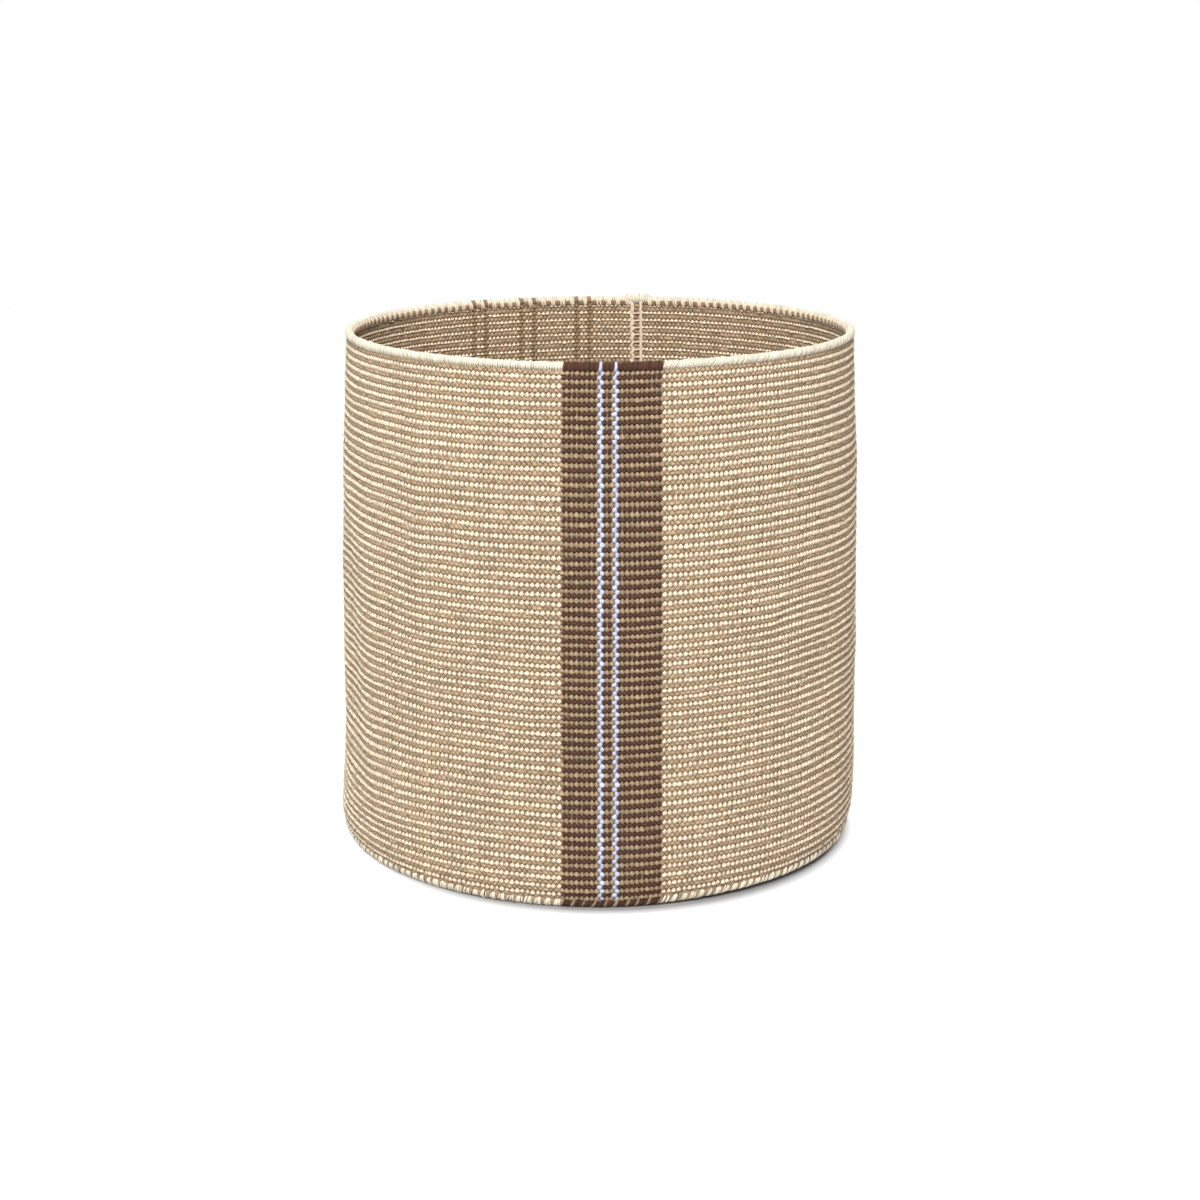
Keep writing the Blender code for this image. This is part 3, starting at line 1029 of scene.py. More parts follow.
@dataclass
class WovenWall:
    """The wall cloth: wefts up and down, two in turn, over warp cords that run round."""

    shop: Workshop
    wall: Wall
    placed: list[PlacedRun]
    crown: float = 1.42 * MM
    crown_half_depth: float = 0.78 * MM
    crown_share: float = 0.482
    crossing_share: float = 0.25
    most_picks: int = 47
    first_place: float = 0.25
    tuck: float = 0.25
    top_lean: float = 0.35
    lean_rows: float = 0.8
    uneven_width: float = 0.09
    uneven_row: float = 0.08
    uneven_relief: float = 0.09
    uneven_place: float = 0.013
    uneven_bead: float = 0.03
    slow_wave: float = 0.035
    slow_wave_rows: float = 31.0
    pick_tone: float = 0.07
    bead_tone: float = 0.2
    twist: float = 0.045
    warp_half_height: float = 1.1 * MM
    warp_half_depth: float = 0.75 * MM
    warp_segments: int = 120
    warp_step: float = 9.0 * MM
    seed: int = 11

    def picks(
        self, mesh: YarnMesh, angles: np.ndarray, pair_angle: float, first: bool, bead: Bead, seed: int,
        stretch: float = 0.0,
    ) -> None:
        """Lays wefts at the given angles, with three rings to a row.

        Args:
            mesh: Where the tubes go.
            angles: Angle of each weft.
            pair_angle: Angle that one pair of wefts takes up.
            first: True for the yarn that shows outside on the odd rows.
            bead: Shape of the yarn's beads.
            seed: Chooses the small unevenness.
            stretch: How much of a row the odd rows gain on each side.
        """
        slack, crown_from, crown_to, seed_limit = 1e-6, 0.1, 0.9, 10_000
        draw = np.random.default_rng(seed)
        last = self.wall.rows
        marks = np.arange(last)[:, None] + np.array([0.0, bead.shoulder, 1.0 - bead.shoulder])
        marks = np.concatenate([[-self.tuck], marks.ravel(), [last, last + self.tuck]])
        inner = np.clip(marks, 0.0, last)
        row = np.minimum(np.floor(inner + slack), last - 1).astype(int)
        part = inner - row
        bulge = np.where((part > crown_from) & (part < crown_to), 1.0, 0.0)
        turn = np.where(row % 2 == 0, -1.0, 1.0)
        side = turn * (1.0 if first else -1.0)
        count = len(angles)
        per_bead = (count, last)
        change = draw.normal(0.0, 1.0, per_bead)[:, row]
        wander = draw.normal(0.0, self.uneven_place, (count, 1))
        wander = wander + self.uneven_bead * draw.normal(0.0, 1.0, per_bead)[:, row]
        zigzag = np.where(bulge > 0.0, 0.0, turn * self.twist + (bead.join if first else -bead.join))
        seeds = draw.integers(0, seed_limit, count)
        slow = np.stack([smooth_noise(marks / self.slow_wave_rows, int(one)) for one in seeds])
        leaning = self.top_lean * np.clip(self.lean_rows - marks, 0.0, 1.0)
        marks = marks - stretch * np.where(bulge > 0.0, 0.0, turn)
        angle = angles[:, None] + pair_angle * (wander + self.slow_wave * slow + leaning + zigzag)
        out = side * bulge * self.crown * bead.relief * (1.0 + self.uneven_relief * change)
        rows = marks + self.uneven_row * bulge * draw.normal(0.0, 1.0, per_bead)[:, row]
        centres, outward = self.wall.place(angle, rows, out)
        pitch = pair_angle * np.hypot(centres[..., 0], centres[..., 1])
        share = np.where(bulge > 0.0, self.crown_share * bead.width, self.crossing_share * bead.neck)
        half_width = share * pitch * (1.0 + self.uneven_width * change)
        half_depth = np.where(bulge > 0.0, self.crown_half_depth * bead.relief, bead.saddle)
        tone = 0.5 + draw.normal(0.0, self.pick_tone, (count, 1)) + self.bead_tone * change
        mesh.add(centres, along_ring(angle), outward, half_width, half_depth, tone=np.clip(tone, 0.0, 1.0))

    def build(self) -> None:
        """Makes the wefts of every run and the warp cords."""
        seed = self.seed
        for one in self.placed:
            node, pair_angle, (up_yarn, down_yarn) = one.run.node, one.pair_angle, one.run.yarns
            middles = one.start + (np.arange(one.run.pairs) + self.first_place) * pair_angle
            both = ((True, up_yarn, middles), (False, down_yarn, middles + 0.5 * pair_angle))
            plain = YarnMesh(f"{node}_wefts")
            for first, yarn, angles in both:
                shares = 1 if one.is_plain else math.ceil(len(angles) / self.most_picks)
                for number, some in enumerate(np.array_split(angles, shares), start=1):
                    seed += 1
                    suffix = f"_{number}" if shares > 1 else ""
                    mesh = plain if one.is_plain else YarnMesh(f"{node}_{yarn.value}{suffix}")
                    stretch = 0.0 if one.is_plain else BEADS[up_yarn].stretch
                    self.picks(mesh, some, pair_angle, first, BEADS[yarn], seed, stretch)
                    if not one.is_plain:
                        self.shop.hand_in(mesh, yarn, [node])
            if one.is_plain:
                self.shop.hand_in(plain, up_yarn, [node])
        self.warps()

    def warps(self) -> None:
        """Makes the warp cords that the wefts cover."""
        rows = np.arange(self.wall.rows) + 0.5
        angle = np.arange(self.warp_segments) * TURN / self.warp_segments
        angles, marks = np.meshgrid(angle, rows)
        centres, outward = self.wall.place(angles, marks, 0.0)
        up = np.cross(along_ring(angles), outward)
        sizes = (self.warp_half_height, self.warp_half_depth)
        mesh = YarnMesh("warp_cords")
        mesh.add(centres, up, outward, *sizes, closed=True, ring_step=self.warp_step)
        self.shop.hand_in(mesh, Yarn.WARP, [one.run.node for one in self.placed])


@dataclass(frozen=True)
class TwistedCord:
    """A cord of twisted strands that runs round the basket."""

    radius: float
    height: float
    strand_offset: float
    strand_radius: float
    segments: int = 720
    sides: int = 6
    ring_step: float = 1.5 * MM
    strands: int = 3
    lay: float = 11.0 * MM

    def build(self, name: str) -> YarnMesh:
        """Lays the strands.

        Args:
            name: Name of the piece.

        Returns:
            The mesh with the strands.
        """
        mesh = YarnMesh(name)
        angle = np.arange(self.segments) * TURN / self.segments
        turns = round(TURN * self.radius / self.lay)
        outward = ring_points(1.0, angle, 0.0)[None]
        up = along_axis(Axis.Z, outward)
        thick = self.strand_radius
        for strand in range(self.strands):
            phase = turns * angle + strand * TURN / self.strands
            radius = self.radius + self.strand_offset * np.cos(phase)
            centres = ring_points(radius, angle, self.height + self.strand_offset * np.sin(phase))[None]
            mesh.add(centres, up, outward, thick, thick, self.sides, closed=True, ring_step=self.ring_step)
        return mesh


@dataclass
class EdgeRoll:
    """A rolled edge: yarns wrapped round a cord that runs round the basket."""

    radius: float
    height: float
    roll_radius: float = 2.6 * MM
    tallness: float = 1.0
    fatness: float = 1.0
    lean_out: float = 0.0
    wrap_half_depth: float = 0.5 * MM
    cord_radius: float = 1.25 * MM
    strand_offset_share: float = 0.5
    strand_radius_share: float = 0.56
    sway: float = 0.05 * MM
    uneven_width: float = 0.05
    uneven_tone: float = 0.3
    rings: int = 12

    def wraps(
        self, mesh: YarnMesh, angles: np.ndarray, half_width: float, slant: float, seed: int,
        roll_radius: Amount | None = None, rise: Amount = 0.0, taper: float = 0.0, ragged: float = 0.015,
    ) -> None:
        """Winds loops of yarn round the edge.

        Args:
            mesh: Where the tubes go.
            angles: Angle round the basket of each loop.
            half_width: Half the width of the yarn.
            slant: How far the loop leans along the edge from its bottom to its top, in metres.
            seed: Chooses the small unevenness.
            roll_radius: Outer radius of each loop, or None for the roll's own.
            rise: How much higher each loop's middle is than the roll's.
            taper: How much wider the yarn is on top than below, as a share.
            ragged: How much the loops differ in size, as a share.
        """
        draw = np.random.default_rng(seed)
        each = (len(angles), 1)
        turn = np.arange(self.rings) * TURN / self.rings
        away, up = np.cos(turn), np.sin(turn)
        outer = np.zeros(each[0]) + (self.roll_radius if roll_radius is None else roll_radius)
        lift = (np.zeros(each[0]) + rise)[:, None]
        path = (outer - self.wrap_half_depth)[:, None] * (1.0 + ragged * draw.normal(0.0, 1.0, each))
        lean = slant * (0.5 * up) / self.radius
        angle = angles[:, None] + lean + draw.normal(0.0, self.sway / self.radius, each)
        height = self.height + lift + path * (up * self.tallness + self.tallness - 1.0)
        radius = self.radius + path * away * self.fatness + self.lean_out * (height - self.height + path)
        widths = half_width * (1.0 + taper * up) * (1.0 + self.uneven_width * draw.normal(0.0, 1.0, each))
        tone = tube_tones(draw, self.uneven_tone, angle.shape)
        centres, outward = ring_points(radius, angle, height), ring_points(away, angle, up)
        mesh.add(centres, along_ring(angle), outward, widths, self.wrap_half_depth, closed=True, tone=tone)

    def cord(self, name: str) -> YarnMesh:
        """Lays the twisted cord inside the roll.

        Args:
            name: Name of the piece.

        Returns:
            The mesh with the strands.
        """
        offset = self.cord_radius * self.strand_offset_share
        strand = self.cord_radius * self.strand_radius_share
        return TwistedCord(self.radius, self.height, offset, strand).build(name)


@dataclass(frozen=True)
class StitchKind:
    """One kind of stitch under the rim: its yarn and where two of them stand in a repeat."""

    name: str
    yarn: Yarn
    places: tuple[float, float] = (0.14, 0.38)
    half_width: float = 0.13
    rows: float = 1.05
    seed: int = 120


SQUARE = {"places": (0.64, 0.86), "half_width": 0.11, "rows": 1.05 * 0.75, "seed": 150}
STITCHES = {
    FIELD: (StitchKind("cream", Yarn.CREAM), StitchKind("tan", Yarn.LINE_TAN, **SQUARE)),
    STRIPE: (StitchKind("dark", Yarn.DARK), StitchKind("stripe_tan", Yarn.STRIPE_TAN, **SQUARE)),
}


@dataclass
class Rim:
    """The top edge: its wraps, its cord, the stitches inside under it and the join at the seam."""

    shop: Workshop
    wall: Wall
    roll: EdgeRoll
    placed: list[PlacedRun]
    seam_angle: float
    wraps_per_pair: int = 2
    slant: float = 0.5 * MM
    right_slant: float = 2.8 * MM
    wrap_share: float = 0.5
    ragged: float = 0.075
    cream_taper: float = 0.22
    dark_extra: float = 0.35 * MM
    dark_sink: float = 0.45 * MM
    pale_width: float = 1.6
    pale_taper: float = -0.25
    pale_extra: float = 0.2 * MM
    under_inset: float = 0.25 * MM
    under_seed: int = 40
    join_half_width: float = 11.0 * MM
    join_rise: float = 0.9 * MM
    join_wraps: int = 15
    join_swell: float = 1.35
    join_fill: float = 0.62
    join_seed: int = 90
    stitch_rows: tuple[float, ...] = (-1.3, -0.95, -0.55, -0.15, 0.2, 0.5)
    stitch_depths_mm: tuple[float, ...] = (1.9, 2.65, 2.7, 2.6, 2.4, 1.1)
    stitch_sizes: tuple[float, ...] = (0.8, 1.0, 1.0, 1.0, 0.9, 0.5)
    stitch_half_depth: float = 0.55 * MM
    stitch_lean: float = -0.4
    lean_range: tuple[float, float] = (0.3, 1.7)
    stitch_uneven: float = 0.06
    stitch_tone: float = 0.2
    seed: int = 300

    def build(self) -> None:
        """Makes every piece of the rim."""
        reach = self.join_half_width / self.roll.radius
        for number, one in enumerate(self.placed):
            node = one.rim_node
            if node is None:
                continue
            yarn = Yarn.EDGE_CREAM if one.run.yarns[0] in FIELD else one.run.yarns[0]
            count = one.run.pairs * self.wraps_per_pair
            angles = one.start + (np.arange(count) + 0.5) * one.angle / count
            angles = angles[np.abs(angles - self.seam_angle) > reach]
            half_width = self.wrap_share * (one.angle / count * self.roll.radius)
            seed = self.seed + number
            slant = self.right_slant if one.run.node == "field_panel_right" else self.slant
            outer, rise, taper = self.roll.roll_radius, 0.0, 0.0
            if yarn is Yarn.EDGE_CREAM:
                taper = self.cream_taper
            if yarn in (Yarn.DARK, Yarn.PALE):
                outer, rise = outer + self.dark_extra, -self.dark_sink
            if yarn is Yarn.PALE:
                under = YarnMesh(f"{node}_under")
                inset = outer - self.under_inset
                self.roll.wraps(under, angles, half_width, slant, seed + self.under_seed, inset, rise)
                self.shop.hand_in(under, Yarn.DARK, [node])
                angles, half_width = angles.mean(keepdims=True), self.pale_width * half_width
                outer, taper = outer + self.pale_extra, self.pale_taper
            mesh = YarnMesh(f"{node}_wraps")
            self.roll.wraps(mesh, angles, half_width, slant, seed, outer, rise, taper, self.ragged)
            self.shop.hand_in(mesh, yarn, [node])
        self.join(reach)
        self.shop.hand_in(self.roll.cord("rim_cord_strands"), Yarn.WARP, ["rim_cord"])
        self.stitches()

    def join(self, reach: float) -> None:
        """Makes the thicker wraps over the place where the rim's two ends meet.

        Args:
            reach: Half the angle that the join takes up.
        """
        angles = self.seam_angle + np.linspace(-reach, reach, self.join_wraps)
        swell = self.join_swell * np.cos(np.linspace(-0.5, 0.5, self.join_wraps) * math.pi)
        rise = self.join_rise * np.clip(swell, 0.0, 1.0)
        mesh = YarnMesh("rim_join_wraps")
        half_width = self.join_fill * 2.0 * self.join_half_width / self.join_wraps
        outer = self.roll.roll_radius + rise
        self.roll.wraps(mesh, angles, half_width, self.slant, self.seed + self.join_seed, outer, rise)
        self.shop.hand_in(mesh, Yarn.EDGE_CREAM, ["rim_join"])

    def stitches(self) -> None:
        """Makes the tall stitches inside under the rim, cream and tan in turn, two pairs to a repeat."""
        for yarns, kinds in STITCHES.items():
            runs = [(k, one) for k, one in enumerate(self.placed) if one.rim_node and one.run.yarns == yarns]
            nodes = [one.rim_node for _, one in runs]
            for kind in kinds:
                mesh = YarnMesh(f"rim_stitches_{kind.name}")
                for number, one in runs:
                    repeats = max(1, one.run.pairs // 2)
                    repeat = one.angle / repeats
                    starts = one.start + np.arange(repeats) * repeat
                    angles = np.concatenate([starts + place * repeat for place in kind.places])
                    seed = self.seed + kind.seed + number
                    self.stitch(mesh, angles, kind.half_width * repeat, kind.rows, seed)
                self.shop.hand_in(mesh, kind.yarn, nodes)

    def stitch(self, mesh: YarnMesh, angles: np.ndarray, half_angle: float, rows: float, seed: int) -> None:
        """Lays short upright stitches on the inside, from the roll down over the first row.

        Args:
            mesh: Where the tubes go.
            angles: Angle of each stitch.
            half_angle: Half the width of a stitch, as an angle.
            rows: How many rows it reaches down.
            seed: Chooses the small unevenness.
        """
        draw = np.random.default_rng(seed)
        marks = np.array(self.stitch_rows) * rows
        out = -np.array(self.stitch_depths_mm) * MM
        each = (len(angles), 1)
        lean = self.stitch_lean * half_angle * (marks - marks[0])[None] * draw.uniform(*self.lean_range, each)
        angle = angles[:, None] + lean
        centres, outward = self.wall.place(angle, marks, out)
        half_width = half_angle * self.roll.radius * np.array(self.stitch_sizes)[None]
        half_width = half_width * draw.normal(1.0, self.stitch_uneven, each)
        tone = tube_tones(draw, self.stitch_tone, angle.shape)
        mesh.add(centres, along_ring(angle), outward, half_width, self.stitch_half_depth, tone=tone)


@dataclass(frozen=True)
class FootStretch:
    """How one stretch of the foot is wrapped; widths are shares of a repeat."""

    node: str
    # The strands default to the lighter cream, painted light for the dimly lit foot.
    strand: Yarn = Yarn.FOOT_CREAM
    wedge: Yarn = Yarn.TAN
    repeat_length: float = 5.9 * MM
    wedge_half_width: float = 0.18
    wedge_taper: float = 0.6
    slant: float = 2.3 * MM
    fan: float = 0.14


FOOT_STRETCHES = (
    FootStretch("foot_roll_right"),
    FootStretch("foot_roll_left", slant=1.3 * MM),
    FootStretch(
        "foot_roll_stripe", Yarn.DARK, Yarn.STRIPE_TAN, repeat_length=6.7 * MM, wedge_half_width=0.16,
        wedge_taper=-0.4, fan=0.0,
    ),
)


@dataclass
class Foot:
    """The bottom edge of the wall: coarser wraps with wedges of tan between them, over a cord."""

    shop: Workshop
    roll: EdgeRoll
    strands: int = 3
    strand_start: float = 0.1
    strand_step: float = 0.25
    strand_half_width: float = 0.127
    strand_taper: float = -0.24
    wedge_place: float = 0.85
    ragged: float = 0.08
    seed: int = 500
    seed_step: int = 10
    wedge_seed: int = 7

    def build(self) -> None:
        """Makes every piece of the foot."""
        for number, one in enumerate(FOOT_STRETCHES):
            start, end = node_angles(one.node)
            repeats = max(1, round((end - start) * self.roll.radius / one.repeat_length))
            repeat = (end - start) / repeats
            starts = start + np.arange(repeats) * repeat
            width = repeat * self.roll.radius
            seed = self.seed + self.seed_step * number
            strands, wedges = YarnMesh(f"{one.node}_strands"), YarnMesh(f"{one.node}_wedges")
            for strand in range(self.strands):
                places = starts + (self.strand_start + self.strand_step * strand) * repeat
                leaning = one.slant + one.fan * width * (1 - strand)
                loop = (self.strand_half_width * width, leaning, seed + strand)
                self.roll.wraps(strands, places, *loop, taper=self.strand_taper, ragged=self.ragged)
            loop = (one.wedge_half_width * width, one.slant, seed + self.wedge_seed)
            places = starts + self.wedge_place * repeat
            self.roll.wraps(wedges, places, *loop, taper=one.wedge_taper, ragged=self.ragged)
            self.shop.hand_in(strands, one.strand, [one.node])
            self.shop.hand_in(wedges, one.wedge, [one.node])
        self.shop.hand_in(self.roll.cord("foot_cord_strands"), Yarn.WARP, ["foot_cord"])


@dataclass
class Seam:
    """The lacing of the back seam, a ladder of rungs on both faces."""

    shop: Workshop
    wall: Wall
    angle: float
    rung_reach: float = 5.6 * MM
    rung_half_height: float = 0.55 * MM
    rung_half_depth: float = 0.55 * MM
    rung_shift: float = 0.35
    rung_slope: float = 0.12
    rung_uneven: float = 0.05
    rung_rings: int = 9
    end_from: float = 0.95
    end_out: float = 0.35
    out: float = 2.3 * MM
    line_offset: float = 3.4 * MM
    line_half_width: float = 1.05 * MM
    line_limits: tuple[float, float] = (0.5 * MM, 1.9 * MM)
    line_extra: float = 0.15 * MM
    line_step: float = 0.5
    line_sides: int = 8
    line_past: tuple[float, float] = (0.6, 0.3)
    line_deepness: float = 1.2
    sideways: float = 0.7 * MM
    in_and_out: float = 0.25 * MM
    widening: float = 0.4
    width_change: float = 0.35
    left_raggedness: float = 0.12
    right_raggedness: float = 0.8
    seed: int = 700

    def build(self) -> None:
        """Makes the lacing of both faces."""
        radius = self.wall.section.belly_radius
        reach, offset = self.rung_reach / radius, self.line_offset / radius
        share = np.linspace(-1.0, 1.0, self.rung_rings)
        dive = np.where(np.abs(share) > self.end_from, self.end_out, 1.0)
        faces = ((Face.INSIDE, "seam_lacing_inside", 2), (Face.OUTSIDE, "seam_lacing_outside", 1))
        for face, node, first_row in faces:
            rows = np.arange(first_row, self.wall.rows, 2) + 0.5
            draw = np.random.default_rng(self.seed + first_row)
            each = (len(rows), 1)
            length = reach * (1.0 + self.rung_uneven * draw.normal(0.0, 1.0, each))
            angle = self.angle - self.rung_shift * reach + share * length
            marks = rows[:, None] + self.rung_slope * share + self.rung_uneven * draw.normal(0.0, 1.0, each)
            centres, outward = self.wall.place(angle, marks, face.value * self.out * dive)
            up = np.cross(along_ring(angle), outward)
            mesh = YarnMesh(f"{node}_rungs")
            mesh.add(centres, up, outward, self.rung_half_height, self.rung_half_depth)
            self.line(mesh, face, self.angle - offset, self.left_raggedness, draw)
            self.line(mesh, face, self.angle + offset, self.right_raggedness, draw)
            self.shop.hand_in(mesh, Yarn.CREAM, [node])

    def line(
        self, mesh: YarnMesh, face: Face, angle: float, raggedness: float, draw: np.random.Generator
    ) -> None:
        """Lays one upright of the ladder.

        Args:
            mesh: Where the tube goes.
            face: The face of the wall on which it lies.
            angle: Its angle round the basket.
            raggedness: How uneven it is, from 0 to 1.
            draw: Gives the unevenness.
        """
        above, below = self.line_past
        marks = np.arange(-above, self.wall.rows + below, self.line_step)
        uneven = draw.normal(0.0, 1.0, (3, 1, len(marks)))
        angles = angle + raggedness * self.sideways * uneven[0] / self.wall.section.belly_radius
        out = face.value * (self.out + self.line_extra + raggedness * self.in_and_out * uneven[1])
        centres, outward = self.wall.place(angles, marks[None], out)
        growth = 1.0 + raggedness * (self.widening + self.width_change * uneven[2])
        half_width = np.clip(self.line_half_width * growth, *self.line_limits)
        half_depth = self.rung_half_depth * self.line_deepness
        mesh.add(centres, along_ring(angles), outward, half_width, half_depth, self.line_sides)


@dataclass
class Base:
    """The woven base, the cord round its edge and the thread that ties it to the foot."""

    shop: Workshop
    radius: float = 161.15 * MM
    height: float = 2.2 * MM
    pair_width: float = 3.28 * MM
    row_height: float = 2.8 * MM
    fewest_rows: int = 2
    crown: float = 1.36 * MM
    crown_half_depth: float = 0.76 * MM
    crossing_half_depth: float = 0.95 * MM
    crown_share: float = 0.44
    crossing_share: float = 0.24
    cut_inset: float = 0.4 * MM
    uneven_place: float = 0.06 * MM
    pick_tone: float = 0.13
    bead_tone: float = 0.15
    pick_step: float = 1.6 * MM
    warp_half_width: float = 1.1 * MM
    warp_half_depth: float = 0.6 * MM
    warp_inset: float = 1.5 * MM
    warp_rings: int = 9
    warp_step: float = 20.0 * MM
    edge_radius: float = 163.65 * MM
    edge_cord_radius: float = 2.2 * MM
    edge_strand_share: float = 0.55
    edge_segments: int = 900
    edge_sides: int = 8
    edge_step: float = 1.3 * MM
    thread_radius: float = 165.3 * MM
    thread_stitches: int = 156
    thread_arc: tuple[float, float] = (0.15, 0.95)
    thread_rings: int = 9
    thread_lean: float = 0.9 * MM
    thread_reach: float = 2.7 * MM
    thread_rise: float = 2.6 * MM
    thread_height: float = 2.5 * MM
    thread_half_width: float = 0.75 * MM
    thread_half_depth: float = 0.5 * MM
    seed: int = 900

    def build(self) -> None:
        """Makes every piece of the base."""
        pairs = int(2.0 * self.radius / self.pair_width) - 1
        firsts = (np.arange(pairs) - (pairs - 1) / 2.0) * self.pair_width - 0.25 * self.pair_width
        for is_first, yarn in ((True, Yarn.CREAM), (False, Yarn.TAN)):
            places = firsts if is_first else firsts + 0.5 * self.pair_width
            mesh = YarnMesh(f"base_panel_{yarn.value}")
            for number, across in enumerate(places):
                self.pick(mesh, float(across), is_first, self.seed + 2 * number + is_first)
            self.shop.hand_in(mesh, yarn, ["base_panel"])
        self.shop.hand_in(self.warps(), Yarn.WARP, ["base_panel"])
        strand = self.edge_cord_radius * self.edge_strand_share
        rope = TwistedCord(
            self.edge_radius, self.edge_cord_radius, self.edge_cord_radius - strand, strand,
            segments=self.edge_segments, sides=self.edge_sides, ring_step=self.edge_step,
        )
        self.shop.hand_in(rope.build("base_edge_rope"), Yarn.WARP, ["base_edge_cord"])
        self.shop.hand_in(self.thread(), Yarn.CREAM, ["base_thread"])

    def pick(self, mesh: YarnMesh, across: float, is_first: bool, seed: int) -> None:
        """Lays one weft of the base, cut where the round ends.

        Args:
            mesh: Where the tube goes.
            across: Its distance from the middle line.
            is_first: True for the yarn on top in the odd rows.
            seed: Chooses the small unevenness.
        """
        half_length = math.sqrt(max(self.radius**2 - across**2, 0.0)) - self.cut_inset
        rows = int(half_length / self.row_height)
        if rows < self.fewest_rows:
            return
        draw = np.random.default_rng(seed)
        halves = np.arange(4 * rows + 1)
        marks = halves / 2.0 - rows
        is_bulge = halves % 2 == 1
        row = np.minimum(halves // 2, 2 * rows - 1) - rows
        side = np.where(row % 2 == 0, -1.0, 1.0) * (1.0 if is_first else -1.0)
        wander = self.uneven_place * draw.normal(0.0, 1.0, len(marks))
        height = self.height + side * is_bulge * self.crown
        centres = np.stack([across + wander, marks * self.row_height, height], axis=-1)[None]
        wide = np.where(is_bulge, self.crown_share, self.crossing_share) * self.pair_width
        deep = np.where(is_bulge, self.crown_half_depth, self.crossing_half_depth)
        tone = 0.5 + self.pick_tone * draw.normal() + self.bead_tone * draw.normal(0.0, 1.0, len(marks))
        axes = (along_axis(Axis.X, centres), along_axis(Axis.Z, centres))
        mesh.add(centres, *axes, wide, deep, tone=np.clip(tone, 0.0, 1.0), ring_step=self.pick_step)

    def warps(self) -> YarnMesh:
        """Makes the cords inside the base.

        Returns:
            The mesh with the cords.
        """
        rows = int(self.radius / self.row_height) - 1
        lines = ((np.arange(-rows, rows) + 0.5) * self.row_height)[:, None]
        half = np.sqrt(self.radius**2 - lines**2) - self.warp_inset
        x = half * np.linspace(-1.0, 1.0, self.warp_rings)
        centres = np.stack(np.broadcast_arrays(x, lines, self.height), axis=-1)
        axes = (along_axis(Axis.Y, centres), along_axis(Axis.Z, centres))
        mesh = YarnMesh("base_warp_cords")
        mesh.add(centres, *axes, self.warp_half_width, self.warp_half_depth, ring_step=self.warp_step)
        return mesh

    def thread(self) -> YarnMesh:
        """Makes the whip stitches that tie the base to the foot.

        Returns:
            The mesh with the stitches.
        """
        angles = (np.arange(self.thread_stitches) + 0.5) * TURN / self.thread_stitches
        turn = np.linspace(*self.thread_arc, self.thread_rings) * math.pi
        angle = angles[:, None] + (turn - turn.mean()) * self.thread_lean / self.thread_radius
        radius = self.thread_radius + self.thread_reach * np.cos(turn)
        centres = ring_points(radius, angle, self.thread_height + self.thread_rise * np.sin(turn))
        outward = ring_points(np.cos(turn), angle, np.sin(turn))
        mesh = YarnMesh("base_thread_stitches")
        mesh.add(centres, along_ring(angle), outward, self.thread_half_width, self.thread_half_depth)
        return mesh


@dataclass(frozen=True)
class Lamp:
    """A soft square lamp that points at the basket."""

    name: str
    place: Triple
    side: float
    power: float
    colour: Triple = (1.0, 1.0, 1.0)
    aim: Triple = (0.0, 0.0, 0.15)

    def build(self) -> None:
        """Hangs the lamp."""
        data = bpy.data.lights.new(self.name, "AREA")
        data.shape = "SQUARE"
        data.size = self.side
        data.energy = self.power
        data.color = self.colour
        lamp = link_object(self.name, data)
        lamp.location = Vector(self.place)
        lamp.rotation_euler = (Vector(self.aim) - lamp.location).to_track_quat("-Z", "Y").to_euler()


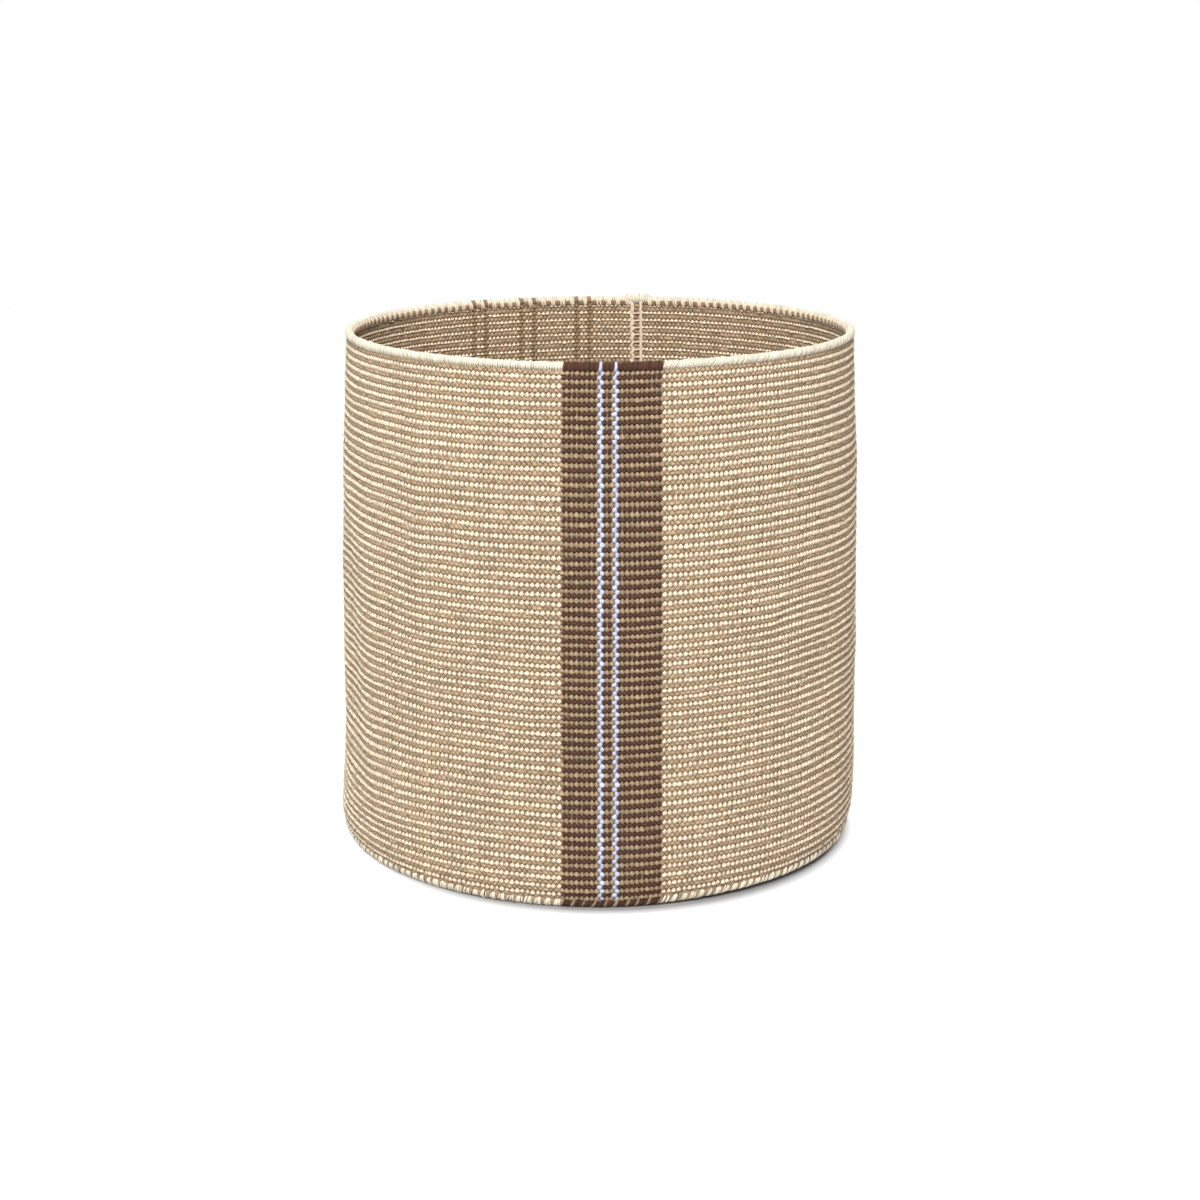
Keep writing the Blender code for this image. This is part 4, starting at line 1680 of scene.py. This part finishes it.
@dataclass
class Studio:
    """The floor, the lamps, the world and the camera."""

    lamps: tuple[Lamp, ...] = (
        Lamp("key_lamp", (-0.2, -1.9, 2.1), 1.6, 95.5),
        Lamp("side_lamp", (-1.3, 1.7, 0.9), 1.0, 18.0, (0.5, 0.9, 1.0)),
    )
    camera_place: Triple = (0.0, -1.445, 0.5262)
    camera_tilt: float = math.radians(14.506)
    lens: float = 66.3
    sensor: float = 36.0
    world_light: float = 0.3
    floor_glow: float = 0.85
    floor_lit: float = 0.335
    floor_bounce: float = 0.5
    # A painted shadow on the floor: the camera-seen glow is 0 within the first radius round a middle set a
    # little to the front, and full beyond the second.
    painted_shadow_middle: Triple = (2.0 * MM, -14.0 * MM, 0.0)
    painted_shadow_start: float = 159.3 * MM
    painted_shadow_end: float = 170.3 * MM
    floor_side: float = 6.0

    def build(self) -> None:
        """Sets up everything round the basket."""
        self.view()
        self.world()
        self.floor()
        for lamp in self.lamps:
            lamp.build()

    def view(self) -> None:
        """Places the camera."""
        bpy.context.scene.view_settings.view_transform = "Standard"
        data = bpy.data.cameras.new("view")
        data.lens = self.lens
        data.sensor_width = self.sensor
        camera = link_object("view", data)
        camera.location = Vector(self.camera_place)
        camera.rotation_euler = (math.pi / 2.0 - self.camera_tilt, 0.0, 0.0)
        bpy.context.scene.camera = camera

    def world(self) -> None:
        """Makes a white world: bright for the camera, softer as a light."""
        world = bpy.data.worlds.new("studio")
        world.use_nodes = True
        nodes = Nodes(world.node_tree)
        strength = nodes.spread(nodes.seen(), 0.0, 1.0, self.world_light, 1.0)
        back = world.node_tree.nodes["Background"]
        nodes.feed(back, {"Color": (1.0, 1.0, 1.0, 1.0), "Strength": strength})
        bpy.context.scene.world = world

    def floor(self) -> None:
        """Makes the white floor, which keeps the basket's shadow and has a painted shadow in a ring round the
        basket's foot.
        """
        half = self.floor_side / 2.0
        corners = [(-half, -half, 0.0), (half, -half, 0.0), (half, half, 0.0), (-half, half, 0.0)]
        mesh = bpy.data.meshes.new("floor")
        mesh.from_pydata(corners, [], [(0, 1, 2, 3)])
        floor = link_object("floor", mesh)
        material = bpy.data.materials.new("floor_white")
        material.use_nodes = True
        material.node_tree.nodes.clear()
        nodes = Nodes(material.node_tree)
        seen = nodes.seen()
        grey = nodes.spread(seen, 0.0, 1.0, self.floor_bounce, self.floor_lit)
        lit = nodes.feed(nodes.new("BsdfDiffuse"), {"Color": grey})["BSDF"]
        places = nodes.new("TexCoord").outputs["Object"]
        # Painted shadow: the glow that whitens the floor is 0 near the basket's foot and rises outwards in a
        # ring.
        away = nodes.feed(nodes.new("VectorMath", operation="DISTANCE"), {0: places, 1: self.painted_shadow_middle})
        clear = nodes.spread(away["Value"], self.painted_shadow_start, self.painted_shadow_end, 0.0, self.floor_glow)
        strength = nodes.maths("MULTIPLY", clear, seen)
        glow = nodes.feed(nodes.new("Emission"), {"Strength": strength})["Emission"]
        total = nodes.feed(nodes.new("AddShader"), {0: lit, 1: glow})["Shader"]
        nodes.feed(nodes.new("OutputMaterial"), {"Surface": total})
        mesh.materials.append(material)


def main() -> None:
    """Builds the basket's pieces in order, then the studio."""
    logging.basicConfig(level=logging.INFO, format="%(name)s: %(message)s")
    rim_sink = 0.45 * MM
    wall = Wall(WallSection.from_frame("field_panel_right"))
    placed = place_runs()
    shop = Workshop()
    WovenWall(shop, wall, placed).build()
    rim_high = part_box("rim_over_field_panel_right")[1]
    roll_radius = EdgeRoll.roll_radius
    rim_middle = rim_high.z - roll_radius - rim_sink
    rim_roll = EdgeRoll(wall.section.rim_radius, rim_middle, tallness=1.11, wrap_half_depth=0.6 * MM)
    backing = next(one for one in placed if one.run.node == "seam_backing")
    seam_angle = (backing.start + backing.end) / 2.0
    Rim(shop, wall, rim_roll, placed, seam_angle).build()
    foot_low, foot_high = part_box("foot_roll_right")
    foot_roll = EdgeRoll(
        foot_high.x - roll_radius, foot_low.z + roll_radius, tallness=1.33, fatness=1.15, lean_out=0.3,
        wrap_half_depth=0.7 * MM, sway=0.24 * MM, rings=14,
    )
    Foot(shop, foot_roll).build()
    Seam(shop, wall, seam_angle).build()
    Base(shop).build()
    Studio().build()
    LOG.info("triangles in all: %d", shop.triangles)


if __name__ == "__main__":
    main()
